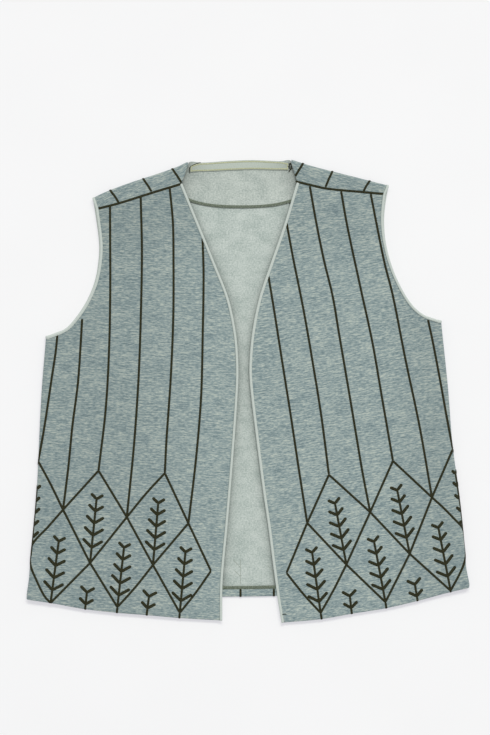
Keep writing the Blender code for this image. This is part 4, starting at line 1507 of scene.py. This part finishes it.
@dataclass
class NeckFinish:
    """The half-moon facing, the tape over the neck seam and their stitching."""

    wardrobe: Wardrobe
    centre_x: float = -10 * MM
    half_width: float = 108 * MM
    bottom_y: float = 249.5 * MM
    top_y: float = 313.5 * MM
    squareness: float = 2.6
    end: float = 0.96
    neck_margin: float = 1.2 * MM
    fold_margin: float = 6.5 * MM
    least_depth: float = 4 * MM
    facing_columns: int = 91
    facing_rows: int = 22
    facing_flat: tuple[float, float] = (0.208, 0.063)
    facing_area: float = 0.0107
    overlock_width: float = 4.1 * MM
    overlock_inset: float = 1.0 * MM
    overlock_columns: int = 300
    tape_ends: tuple[float, float] = (-79 * MM, 54 * MM)
    tape_level: Rows = ((-62 * MM, 310.6 * MM), (40 * MM, 312.7 * MM))
    tape_margin: float = 0.8 * MM
    tape_swell: float = 1.4 * MM
    tape_droop: tuple[float, float] = (4.2 * MM, 2.4 * MM)
    droop_length: float = 18 * MM
    droop_narrows: float = 0.6
    tape_columns: int = 120
    tape_rows: int = 12
    tape_dome: float = 0.25 * MM
    tape_flat: tuple[float, float] = (0.135, 0.0125)
    row_inset: float = 1.5 * MM
    row_width: float = 1.9 * MM
    row_height: float = 0.5 * MM
    end_inset: float = 1.2 * MM
    end_width: float = 1.6 * MM
    end_points: int = 30

    def __post_init__(self) -> None:
        """Prepares the lines."""
        self.neck = SmoothLine(NECKLINE)
        self.folds = [SmoothLine(outline.shoulder_fold) for outline in (RIGHT_OUTLINE, LEFT_OUTLINE)]

    def border(self, across: np.ndarray) -> tuple[np.ndarray, np.ndarray, np.ndarray]:
        """Lower and upper border of the facing.

        Args:
            across: share from the centre, -1 to 1.

        Returns:
            Distance across, lower border and upper border.
        """
        x = self.centre_x + across * self.half_width
        depth = (1 - np.abs(across) ** self.squareness) ** (1 / self.squareness)
        bottom = mix(self.top_y, self.bottom_y, depth)
        top = self.neck.y_at(x) - self.neck_margin
        for fold in self.folds:
            low, high = fold.by_x[0, 0], fold.by_x[-1, 0]
            top = np.where((x > low) & (x < high), fold.y_at(x) - self.fold_margin, top)
        return x, np.minimum(bottom, top - self.least_depth), top

    def make(self) -> None:
        """Builds the facing, the tape and the stitching."""
        self.facing()
        self.tape()

    def facing(self) -> None:
        """Builds the facing and the overlock on its curved edge."""
        x, low, high = self.border(self.columns(self.facing_columns))
        share = np.linspace(0, 1, self.facing_rows)[:, None]
        sheet = np.stack([np.repeat(x[None], self.facing_rows, 0), mix(low, high, share)], -1)
        finishes = [self.wardrobe.facing, self.wardrobe.facing]
        place = self.waved(FACING_Z)
        piece = ClothShell(
            "neck_facing_cloth", sheet, place, FACING_CLOTH - 0.2 * MM, finishes, Opening().painted_shade,
        ).make()
        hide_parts("neck_facing")
        x, low, _ = self.border(self.columns(self.overlock_columns))
        edge = Embroidery(
            "facing_overlock", place, self.wardrobe.overlock, stitch=1.15 * MM, step=0.3 * MM,
            base=FACING_CLOTH / 2, ripple=0.45,
        )
        edge.runs.append(Run(np.stack([x, low + self.overlock_inset], -1), self.overlock_width, 0.55 * MM))
        edge.make()

    def columns(self, count: int) -> np.ndarray:
        """Shares across the facing, closer together towards its ends."""
        return self.end * np.sin(np.linspace(-np.pi / 2, np.pi / 2, count))

    @staticmethod
    def waved(height: float) -> Placing:
        """A nearly level placing with the slight unevenness of cloth that lies on cloth."""

        def place(a: np.ndarray, b: np.ndarray, n: np.ndarray) -> np.ndarray:
            """Places points above the plane."""
            x, y = a / MM, b / MM
            wave = np.sin(x / 11 + 1.3 * np.sin(y / 19)) * np.sin(y / 15)
            return np.stack([a, b, height + (0.05 + 0.10 * wave) * MM + n], -1)

        return place

    def tape(self) -> None:
        """Builds the tape and its two rows of stitching."""
        x = np.linspace(*self.tape_ends, self.tape_columns)
        top = self.tape_top(x)
        share = np.linspace(0, 1, self.tape_rows)[:, None]
        rows = np.repeat(x[None], self.tape_rows, 0)
        sheet = np.stack([rows, top - self.tape_width(x) * (1 - share)], -1)

        def place(a: np.ndarray, b: np.ndarray, n: np.ndarray) -> np.ndarray:
            """Places points of the tape, which bulges slightly between its stitches."""
            half = self.tape_width(a) / 2
            q = (self.tape_top(a) - half - b) / half
            dome = self.tape_dome * np.cos(np.clip(q, -1, 1) * np.pi / 2) + 0.04 * MM * np.sin(a / (3.1 * MM))
            return np.stack([a, b, TAPE_Z + dome + n], -1)

        finishes = [self.wardrobe.tape, self.wardrobe.tape]
        piece = ClothShell(
            "neck_tape_cloth", sheet, place, TAPE_CLOTH - 0.1 * MM, finishes, Opening().painted_shade,
        ).make()
        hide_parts("neck_tape")
        sewn = Embroidery(
            "tape_stitching", place, self.wardrobe.yellow, stitch=2.3 * MM, step=0.3 * MM,
            base=TAPE_CLOTH / 2, ripple=0.5,
        )
        for inset in (self.row_inset, self.tape_width(x) - self.row_inset):
            sewn.runs.append(Run(np.stack([x, top - inset], -1), self.row_width, self.row_height))
        for end_x, k in ((x[0] + self.end_inset, 0), (x[-1] - self.end_inset, -1)):
            bottom = top[k] - self.tape_width(x[k]) + 1.0 * MM
            down = np.linspace(top[k] - self.end_inset, bottom, self.end_points)
            line = np.stack([np.full(self.end_points, end_x), down], -1)
            sewn.runs.append(Run(line, self.end_width, self.row_height))
        sewn.make()

    def droop(self, x: np.ndarray) -> np.ndarray:
        """How far the tape's upper edge sinks towards its ends."""
        return sum(
            amount * np.clip(1 - np.abs(x - end) / self.droop_length, 0, 1) ** 2
            for end, amount in zip(self.tape_ends, self.tape_droop)
        )

    def tape_top(self, x: np.ndarray) -> np.ndarray:
        """Upper edge of the tape, which leaves the neckline at both ends."""
        (left, left_y), (right, right_y) = self.tape_level
        level_y = np.interp(x, (left, right), (left_y, right_y))
        inner = (x > left) & (x < right)
        return np.where(inner, self.neck.y_at(x), level_y) - self.tape_margin - self.droop(x)

    def tape_width(self, x: np.ndarray) -> np.ndarray:
        """Width of the tape, which the neck's curve pulls wider at the centre."""
        middle, half = sum(self.tape_ends) / 2, (self.tape_ends[1] - self.tape_ends[0]) / 2
        swell = self.tape_swell * (1 - ((x - middle) / half) ** 2)
        return TAPE_WIDTH + swell - self.droop_narrows * self.droop(x)


@dataclass
class HemFinish:
    """The overlock on the cut edge of the back's turned-up hem."""

    wardrobe: Wardrobe
    panels: Panels
    reach: tuple[float, float] = (-290 * MM, 292 * MM)
    points: int = 900
    width: float = 4.8 * MM
    past_edge: float = 0.9 * MM

    def make(self) -> None:
        """Builds the overlock."""
        back = self.panels.back
        x = np.linspace(*self.reach, self.points)
        right, left = self.panels.back_sheet[0, 0, 0], self.panels.back_sheet[0, -1, 0]
        x = x[(x > right) & (x < left)]
        cut = back.hem_start(x) - np.pi * HEM_RADIUS - HEM_DEPTH
        hem = Embroidery(
            "back_hem_overlock", back.place, self.wardrobe.overlock, stitch=1.15 * MM, step=0.33 * MM,
            ripple=0.45,
        )
        line = np.stack([x, cut + self.width / 2 - self.past_edge], -1)
        hem.runs.append(Run(line, self.width, 0.5 * MM))
        hem.make()


@dataclass(frozen=True)
class SprigStyle:
    """Lengths of a sprig's arms from the lowest pair up to the fork, how far they rise, and how much
    more than the stem the pairs lean."""

    arms: tuple[float, ...] = (17.4, 16.9, 15.4, 13.2, 10.8)
    rise_degrees: float = 37.5
    skew: float = 1.4


WHOLE = SprigStyle()
LOW = SprigStyle(arms=(12.5, 12.5))
RIGHT_SIDE = SprigStyle(arms=(12.1, 10.5, 10.3, 8.4, 7.8), rise_degrees=49.0, skew=1.0)
LEFT_SIDE = SprigStyle(arms=(6.8, 9.4, 9.2, 9.0, 7.2), rise_degrees=51.0, skew=1.0)


@dataclass(frozen=True)
class Sprig:
    """Place of one sprig over its knot, in millimetres: first pair, fork, and lean to the right."""

    first: float
    fork: float
    lean_degrees: float
    style: SprigStyle = WHOLE

    @property
    def up(self) -> np.ndarray:
        """Direction of the stem."""
        lean = math.radians(self.lean_degrees)
        return np.array((math.sin(lean), math.cos(lean)))


@dataclass
class FrontChart:
    """The embroidery of one front: stripes, then diamonds with a sprig in each, in millimetres.

    A link marked ~ sags a little and one marked ^ rises. Low sprigs and hem stems hang below their knots.
    """

    stripes: tuple[Rows, ...]
    knots: dict[str, tuple[float, float]]
    links: str
    sprigs: dict[str, Sprig]
    low_sprigs: dict[str, Sprig]
    hem_stems: dict[str, float]
    sag: float = 1.8


RIGHT_CHART = FrontChart(
    stripes=(
        ((-258.9, 78), (-261.5, 52.7), (-266.9, 16.8), (-272.2, -19.2), (-277.8, -55.2), (-284.9, -95.2)),
        ((-225.5, 98), (-227.7, 63.6), (-231.9, 8.4), (-239, -46.7), (-244.4, -101.8), (-251.7, -161)),
        ((-187.8, 251.6), (-187.6, 208.5), (-187.6, 130.4), (-189.4, 52.3), (-194, -25.8), (-203.6, -108)),
        ((-146.2, 263.8), (-144.7, 190), (-145.8, 117.5), (-149, 22.6), (-155.4, -72.2), (-165.2, -171.1)),
        (
            (-107, 276.1), (-102.7, 229.9), (-101.9, 187.7), (-102.1, 103.4), (-105.5, 19.1), (-111.3, -65.2),
            (-113.6, -111.4),
        ),
        ((-62.5, 210), (-61, 158.2), (-62.2, 74.8), (-64.4, -8.6), (-71.3, -92), (-81.6, -179.5)),
        (
            (-251.7, -161), (-272.2, -184.5), (-292.2, -206.5), (-296, -224), (-294.8, -238),
            (-288.1, -254.8), (-276.8, -277.4), (-268.3, -287),
        ),
    ),
    knots={
        "A0": (-284.9, -95.2), "C0": (-203.6, -108), "E0": (-113.6, -111.4),
        "Z1": (-326, -150), "B1": (-251.7, -161), "D1": (-165.2, -171.1), "F1": (-81.6, -179.5),
        "A2": (-295.2, -224), "C2": (-214.9, -233.1), "E2": (-129.6, -235.8), "G2": (-51, -244),
        "Z3": (-334, -278), "B3": (-268.3, -287), "D3": (-177.8, -292.9), "F3": (-93.2, -300.6),
    },
    links=(
        "A0Z1 A0B1^ C0B1 C0D1 E0D1^ E0F1 Z1A2 B1C2 D1C2 D1E2 F1E2 F1G2 "
        "A2Z3 C2B3 C2D3 E2D3~ E2F3 G2F3~"
    ),
    sprigs={
        "A2": Sprig(25.5, 91.5, 5.1, RIGHT_SIDE), "C2": Sprig(21, 87, 5.7), "E2": Sprig(20.6, 84, 4.8),
        "B3": Sprig(17.6, 84, 7.5), "D3": Sprig(16.2, 81, 6.3), "F3": Sprig(16.2, 82.5, 5.3),
    },
    low_sprigs={"C2": Sprig(56, 40, 6.1, LOW), "E2": Sprig(59, 43, 7.2, LOW)},
    hem_stems={"B3": 6.0, "D3": 6.0, "F3": 6.0},
)
LEFT_CHART = FrontChart(
    stripes=(
        ((27, 156), (34.3, 112.3), (45.6, 40.5), (57, -31.3), (67.8, -103.1), (79.6, -179)),
        ((51.5, 229), (59.9, 183.7), (74.6, 110.4), (87.4, 37.1), (99.1, -36.2), (109.1, -113.6)),
        (
            (83, 278), (92.6, 225.1), (102.5, 177), (114.2, 128.8), (122.4, 80.6), (138.8, -15.7),
            (155, -112), (165.1, -164.3),
        ),
        ((125.5, 271), (133.4, 226.8), (150.4, 147.4), (167.7, 68), (181.6, -11.4), (196, -94.9)),
        (
            (165.5, 268), (175.1, 218.9), (184.3, 174.1), (195.7, 129.2), (213.7, 39.4), (232.5, -50.4),
            (248.9, -144.2),
        ),
        ((243.2, 97), (248.7, 72), (255.8, 35.4), (262.6, -1.3), (269.1, -37.9), (276.8, -78.6)),
        (
            (248.9, -144.2), (264, -158), (279.3, -173.6), (289.2, -184.2), (293.6, -195.5), (295, -209.4),
            (294.8, -221), (291.6, -234.7), (285.7, -248.3), (273.8, -270.4),
        ),
    ),
    knots={
        "B0": (109.1, -113.6), "D0": (196, -94.9), "F0": (276.8, -78.6),
        "A1": (79.6, -179), "C1": (165.1, -164.3), "E1": (248.9, -144.2), "G1": (325, -128),
        "Z2": (51.5, -246.7), "B2": (132.7, -235.3), "D2": (218.6, -220.7), "F2": (293.5, -196),
        "A3": (97.8, -300.8), "C3": (185.6, -286.1), "E3": (273.8, -270.4), "G3": (336, -256),
    },
    links=(
        "B0A1 B0C1 D0C1 D0E1 F0E1 F0G1 A1Z2 A1B2 C1B2 C1D2 E1D2 G1F2 "
        "Z2A3~ B2A3~ B2C3 D2C3 D2E3 F2G3"
    ),
    sprigs={
        "B2": Sprig(20.2, 84.2, -10.5), "D2": Sprig(22.2, 87.6, -11),
        "F2": Sprig(15.9, 84.7, -8.7, LEFT_SIDE), "A3": Sprig(15.4, 82.5, -8),
        "C3": Sprig(17.6, 83.2, -10.6), "E3": Sprig(19.6, 86.7, -10.9),
    },
    low_sprigs={"B2": Sprig(59, 43, -6.3, LOW), "D2": Sprig(58, 42, -9.5, LOW)},
    hem_stems={"A3": -9.5, "C3": -9.5, "E3": -9.5},
)


@dataclass(frozen=True)
class BackChart:
    """The embroidery of the back, in millimetres: the same trellis on one even spacing.

    Each strip gives a stripe's place at the shoulder fold, halfway over the strip, and at the seam.
    """

    centre_x: float = -10.9
    pitch: float = 45.3
    columns_each_side: int = 6
    rows: tuple[float, float, float, float] = (-92.0, -155.0, -213.0, -270.0)
    below_hem: float = -330.0
    neck_half: float = 60.0
    shoulder_spread: float = 0.93
    shoulder_reach: float = 16.0
    bend_y: float = 120.0
    sprig: Sprig = Sprig(18.5, 84, 0)
    strips: tuple[Rows, ...] = (
        ((-104.4, 302.6), (-97.2, 292.5), (-90.8, 282.3)),
        ((-143.9, 289), (-137.1, 279.7), (-131.5, 270.4)),
        ((-188.9, 273.6), (-181.6, 264.5), (-176.1, 255.7)),
        ((74.8, 309.8), (68.8, 300.5), (63.2, 291.3)),
        ((114.5, 299.2), (109, 287.8), (104.3, 276.5)),
        ((165.9, 286.6), (160, 278.8), (155.7, 270.5)),
    )

    @property
    def columns(self) -> list[float]:
        """Place across of each column of the trellis."""
        half = self.columns_each_side
        return [self.centre_x + self.pitch * k for k in range(-half, half + 1)]

    def strip_over(self, x: float) -> Rows | None:
        """The strip that a stripe of the back runs over, where one is near enough."""
        strip = min(self.strips, key=lambda rows: abs(rows[0][0] - x * self.shoulder_spread))
        near = abs(strip[0][0] - x * self.shoulder_spread) < self.shoulder_reach
        return strip if near and abs(x) > self.neck_half else None


def clipped(points: np.ndarray, kept: np.ndarray) -> np.ndarray:
    """The longest run of points that are kept."""
    best, start = (0, 0), None
    for k, keep in enumerate(np.append(kept, False)):
        if keep and start is None:
            start = k
        if not keep and start is not None:
            if k - start > best[1] - best[0]:
                best = (start, k)
            start = None
    return points[best[0]:best[1]]


@dataclass
class Trellis:
    """All the olive embroidery of the vest."""

    wardrobe: Wardrobe
    panels: Panels
    back_chart: BackChart = BackChart()
    line_width: float = 3.3 * MM
    arm_width: float = 4.5 * MM
    height: float = 0.75 * MM
    sample_step: float = 0.5 * MM
    fewest_samples: int = 8
    hem_stem: float = 34
    low_stem: float = 48
    under_margin: float = 1.2 * MM
    seam_margin: float = 0.5 * MM
    back_step: float = 0.65 * MM
    over_fold: float = 1.0 * MM
    past_fold: tuple[float, float] = (5.0 * MM, 14.0 * MM)
    seam_width: float = 3.4 * MM
    seam_height: float = 0.95 * MM
    bobbin_width: float = 0.9 * MM
    bobbin_height: float = 0.22 * MM

    def make(self) -> None:
        """Builds the embroidery of each panel and of the seams."""
        self.front(Side.RIGHT, RIGHT_CHART)
        self.front(Side.LEFT, LEFT_CHART)
        self.back()
        self.seams()
        self.bobbins()

    def front(self, side: Side, chart: FrontChart) -> None:
        """Builds the embroidery of one front."""
        surface = self.panels.fronts[side]
        work = Embroidery(f"embroidery_{side.label}_front", surface.place, self.wardrobe.olive)
        for stripe in chart.stripes:
            self.add(work, surface, np.array(stripe), self.line_width)
        for link in chart.links.split():
            start, end = np.array(chart.knots[link[:2]]), np.array(chart.knots[link[2:4]])
            drop = chart.sag * (link.endswith("~") - link.endswith("^"))
            self.add(work, surface, np.array([start, (start + end) / 2 - (0, drop), end]), self.line_width)
        for name, sprig in chart.sprigs.items():
            self.sprig(work, surface, np.array(chart.knots[name]), sprig)
        for name, sprig in chart.low_sprigs.items():
            self.low_sprig(work, surface, np.array(chart.knots[name]), sprig)
        for name, lean in chart.hem_stems.items():
            knot = np.array(chart.knots[name])
            end = knot - Sprig(0, 0, lean).up * self.hem_stem
            self.add(work, surface, np.array([knot, end]), self.line_width)
        work.make()

    def sprig(self, work: Embroidery, surface: Panel, knot: np.ndarray, sprig: Sprig) -> None:
        """Adds a sprig that rises from a knot."""
        self.add(work, surface, np.array([knot, knot + sprig.up * sprig.fork]), self.line_width)
        self.tiers(work, surface, knot, sprig)

    def low_sprig(self, work: Embroidery, surface: Panel, knot: np.ndarray, sprig: Sprig) -> None:
        """Adds the small sprig between a knot and the hem."""
        fork = knot - sprig.up * sprig.fork
        self.add(work, surface, np.array([fork, fork - sprig.up * self.low_stem]), self.line_width)
        self.tiers(work, surface, knot, Sprig(-sprig.first, -sprig.fork, sprig.lean_degrees, sprig.style))

    def tiers(self, work: Embroidery, surface: Panel, knot: np.ndarray, sprig: Sprig) -> None:
        """Adds all the pairs of arms of a sprig."""
        style = sprig.style
        rise = math.radians(style.rise_degrees)
        lean = math.radians(sprig.lean_degrees * style.skew)
        up = np.array((math.sin(lean), math.cos(lean)))
        for place, arm in zip(np.linspace(sprig.first, sprig.fork, len(style.arms)), style.arms):
            base = knot + sprig.up * place
            for way in (-1, 1):
                out = np.array((up[1], -up[0])) * way
                tip = base + (out * math.cos(rise) + up * math.sin(rise)) * arm
                self.add(work, surface, np.array([base, tip]), self.arm_width)

    def add(self, work: Embroidery, surface: Panel, points: np.ndarray, width: float) -> None:
        """Adds a line, cut off at the panel's seams and just round its hem.

        Args:
            work: the embroidery.
            surface: the panel's form.
            points: x and y in millimetres.
            width: the line's width.
        """
        line = SmoothLine(tuple(map(tuple, points)))
        count = max(int(line.lengths[-1] / self.sample_step), 4)
        samples = line.at(np.linspace(0, 1, count))
        lowest = surface.hem_start(samples[:, 0]) - np.pi * HEM_RADIUS - surface.HEM_REACH
        kept = samples[:, 1] > lowest
        if isinstance(surface, FrontSurface):
            kept &= self.on_front(surface, samples)
        else:
            kept &= surface.holds(samples, self.line_width / 2)
        samples = clipped(samples, kept)
        if len(samples) > self.fewest_samples:
            work.runs.append(Run(samples, width, self.height))

    def on_front(self, front: FrontSurface, samples: np.ndarray) -> np.ndarray:
        """Whether sheet points lie inside a front's seams and bindings."""
        x, y = samples[:, 0], samples[:, 1]
        above_hem = np.maximum(y, front.hem_start(x))
        under = np.pi * front.fold_radius(above_hem) + SIDE_TURN - self.under_margin
        inside = front.sign * x < front.sign * (front.bend_x(above_hem) + front.sign * under)
        inside &= front.sign * (x - front.edge.x_at(y)) > BAND_WIDTH
        inside &= y < front.seam.y_at(x) - self.seam_margin
        arm = front.armhole.x_at(y) - front.sign * (front.inset + BAND_WIDTH)
        return inside & ((y < front.underarm_y) | (front.sign * x < front.sign * arm))

    def back(self) -> None:
        """Builds the embroidery of the back and of the strips that turn over the shoulders."""
        surface, chart = self.panels.back, self.back_chart
        work = Embroidery("embroidery_back", surface.place, self.wardrobe.olive, step=self.back_step)
        columns, rows = chart.columns, chart.rows
        for k, x in enumerate(columns):
            end = rows[k % 2]
            strip = chart.strip_over(x)
            if strip:
                self.over_shoulder(work, surface, strip, x, end)
            elif abs(x) < chart.neck_half:
                top = surface.neck.y_at(np.array(x * MM)) / MM - 2.5
                self.add(work, surface, np.array([(x, top), (x, 60), (x, end)]), self.line_width)
            else:
                self.from_armhole(work, surface, x, end)
        for k, x in enumerate(columns[:-1]):
            for low in range(3):
                even = (k + low) % 2 == 0
                start = (x, rows[low if even else low + 1])
                stop = (columns[k + 1], rows[low + 1 if even else low])
                self.add(work, surface, np.array([start, stop]), self.line_width)
        for k, x in enumerate(columns):
            knot = np.array([x, rows[2 + k % 2]])
            self.sprig(work, surface, knot, chart.sprig)
            self.add(work, surface, np.array([knot, (x, chart.below_hem)]), self.line_width)
        work.make()

    def over_shoulder(
        self, work: Embroidery, surface: BackSurface, strip: Rows, x: float, end: float,
    ) -> None:
        """Adds a stripe from a shoulder seam over the fold and down the back.

        Args:
            work: the embroidery.
            surface: the back's form.
            strip: places at the fold, halfway and at the seam, in millimetres.
            x: the stripe's place across the back.
            end: where it ends at the diamonds.
        """
        shoulder = surface.shoulders[Side.RIGHT if x < 0 else Side.LEFT]
        fold, middle, seam = np.array(strip) * MM
        past = shoulder.past(np.array([fold, middle]))
        top = mix(fold, middle, (past[0] + self.over_fold) / (past[0] - past[1]))
        over = shoulder.unfolded(np.array([seam, middle, top]))
        ahead = mix(-shoulder.up, unit(over[2] - over[1]), 0.75)
        beyond = over[2] + ahead * np.array(self.past_fold)[:, None]
        line = np.concatenate([over, beyond]) / MM
        bend = (mix(line[-1, 0], x, 0.6), self.back_chart.bend_y)
        line = np.concatenate([line, [bend, (x, 0.0), (x, end)]])
        self.add(work, surface, line, self.line_width)

    def from_armhole(self, work: Embroidery, surface: BackSurface, x: float, end: float) -> None:
        """Adds a stripe of the back that starts at the armhole."""
        front = surface.fronts[Side.RIGHT if x < 0 else Side.LEFT]
        top = float(front.armhole.y_at(np.array(x * MM + front.sign * BAND_PROUD))) / MM - 2.0
        if abs(x) * MM < abs(front.bend_x(np.array(0.0))) - SIDE_TURN:
            self.add(work, surface, np.array([(x, top), (x, mix(top, end, 0.5)), (x, end)]), self.line_width)

    def seams(self) -> None:
        """Builds the embroidered line that covers each shoulder seam."""
        tables = {
            Side.RIGHT: ((-203.6, 247.5), (-175.4, 254.7), (-130.3, 269), (-90.8, 281)),
            Side.LEFT: ((63.8, 284.4), (83.2, 279.7), (105.7, 274.6), (156.4, 269.7), (183.6, 267.2)),
        }
        for side, table in tables.items():
            surface = SeamSurface(self.panels.fronts[side])
            work = Embroidery(f"seam_embroidery_{side.label}", surface.place, self.wardrobe.olive)
            work.line(table, self.seam_width, self.seam_height)
            work.make()

    def bobbins(self) -> None:
        """Builds the bobbin threads that show on the inside of the back."""
        work = Embroidery(
            "bobbin_threads", level(2 * BACK_Z), self.wardrobe.bobbin, stitch=2.6 * MM, step=0.4 * MM,
            base=0, ripple=0.7,
        )
        lines = (
            ((-11, -228.5), (-10.8, -262)), ((-11, -240), (-21, -229)), ((-11, -252), (-19, -244)),
            ((26, -237), (33.5, -246)), ((34.4, -247), (34.4, -262)), ((34.4, -250), (38, -245)),
        )
        for start, end in lines:
            work.line((start, end), self.bobbin_width, self.bobbin_height)
        work.make()


@dataclass
class ThreadTails:
    """Short loose ends of thread left by the sewing."""

    wardrobe: Wardrobe
    thickness: float = 0.5 * MM

    def make(self) -> None:
        """Builds the ends."""
        work = Embroidery(
            "thread_tails", level(0.0), self.wardrobe.olive, stitch=3.0 * MM, step=0.3 * MM,
            base=0, ripple=0.2,
        )
        tape_top = TAPE_Z + TAPE_CLOTH / 2
        # Each end: its points, its width in millimetres and its height
        tails = (
            (((-79.5, 304.3), (-72, 308.4), (-65, 310.4)), 0.9, tape_top + 0.25 * MM),
            (((-79.4, 304.6), (-80.4, 301), (-80.1, 296.2)), 1.0, tape_top + 0.1 * MM),
            (((54.6, 309), (58.2, 307.6), (58.4, 302.6), (55.4, 299.4)), 1.2, tape_top + 0.1 * MM),
            (((57.2, 309.6), (55.4, 306), (56.6, 301), (54.4, 297.6)), 1.1, tape_top + 0.5 * MM),
            (((53.4, 305.2), (56.4, 304.2), (59.2, 305.4)), 0.9, tape_top + 0.8 * MM),
            (((45.4, -303), (48.6, -302.3), (51.4, -302.5)), 0.8, HEM_CENTRE_Z + CLOTH / 2 + 0.9 * MM),
        )
        for points, width, height in tails:
            work.line(points, width * MM, self.thickness)
            work.heights.append(height)
        work.make()


@dataclass
class Studio:
    """Pale floor, soft light from above and the camera straight above the vest."""

    centre: tuple[float, float] = (-0.0048, 0.032)
    height: float = 2.2
    view_height: float = 1.0
    floor: tuple[float, float, float] = (179.5, 182, 173)
    floor_light: tuple[float, float, float] = (181, 183.5, 174.5)
    floor_glow: tuple[float, float, float] = (0.450, 0.435, 0.488)
    floor_half: float = 4.0
    floor_z: float = -0.3 * MM
    sky: tuple[float, float, float] = (0.98, 0.99, 1.0)
    sky_strength: float = 0.595
    lamp_size: tuple[float, float] = (2.4, 1.6)
    lamp_watts: float = 190
    lamp_colour: tuple[float, float, float] = (1.0, 0.995, 0.985)
    lamp_place: tuple[float, float, float] = (0.5, 2.3, 3.4)
    lamp_aim: tuple[float, float, float] = (-0.9, -7.4, 4.2)
    sensor: float = 36

    def make(self) -> None:
        """Builds floor, lights and camera."""
        self.lay_floor()
        self.light()
        self.camera()

    def lay_floor(self) -> None:
        """Makes the floor, just below the embroidery on the underside."""
        mesh = bpy.data.meshes.new("studio_floor")
        far, low = self.floor_half, self.floor_z
        corners = [(-far, -far, low), (far, -far, low), (far, far, low), (-far, far, low)]
        mesh.from_pydata(corners, [], [(0, 1, 2, 3)])
        floor = bpy.data.objects.new("studio_floor", mesh)
        bpy.context.scene.collection.objects.link(floor)
        nodes = Nodes("pale_floor")
        paper = nodes.add("ShaderNodeTexNoise")
        paper.inputs["Scale"].default_value = 60
        colour = nodes.ramp(
            paper.outputs["Fac"], ((0.3, linear(*self.floor)), (0.7, linear(*self.floor_light))),
        )
        nodes.dress(colour, Roughness=0.95, Emission_Strength=1.0)
        nodes.surface.inputs["Emission Color"].default_value = (*self.floor_glow, 1)
        mesh.materials.append(nodes.material)

    def light(self) -> None:
        """Makes a pale sky and one wide soft light from beyond the neck."""
        world = bpy.data.worlds.new("studio")
        bpy.context.scene.world = world
        world.use_nodes = True
        background = world.node_tree.nodes["Background"]
        background.inputs["Color"].default_value = (*self.sky, 1)
        background.inputs["Strength"].default_value = self.sky_strength
        lamp = bpy.data.lights.new("soft_light", "AREA")
        lamp.shape = "RECTANGLE"
        lamp.size, lamp.size_y = self.lamp_size
        lamp.energy = self.lamp_watts
        lamp.color = self.lamp_colour
        made = bpy.data.objects.new("soft_light", lamp)
        made.location = self.lamp_place
        aim = Vector(self.lamp_aim) - made.location
        made.rotation_euler = aim.to_track_quat("-Z", "Y").to_euler()
        bpy.context.scene.collection.objects.link(made)

    def camera(self) -> None:
        """Makes the camera."""
        lens = bpy.data.cameras.new("camera")
        lens.sensor_width = self.sensor
        lens.lens = self.sensor * self.height / self.view_height
        lens.clip_end = 20
        made = bpy.data.objects.new("camera", lens)
        made.location = (*self.centre, self.height)
        bpy.context.scene.collection.objects.link(made)
        bpy.context.scene.camera = made
        bpy.context.scene.view_settings.view_transform = "Standard"


def main() -> None:
    """Builds the vest piece by piece."""
    logging.basicConfig(level=logging.INFO, format="%(message)s")
    wardrobe = Wardrobe()
    panels = Panels(wardrobe)
    for part in (
        panels,
        Bindings(wardrobe, panels),
        NeckFinish(wardrobe),
        HemFinish(wardrobe, panels),
        Trellis(wardrobe, panels),
        ThreadTails(wardrobe),
        Studio(),
    ):
        part.make()
        log.info("made %s", type(part).__name__)


if __name__ == "__main__":
    main()
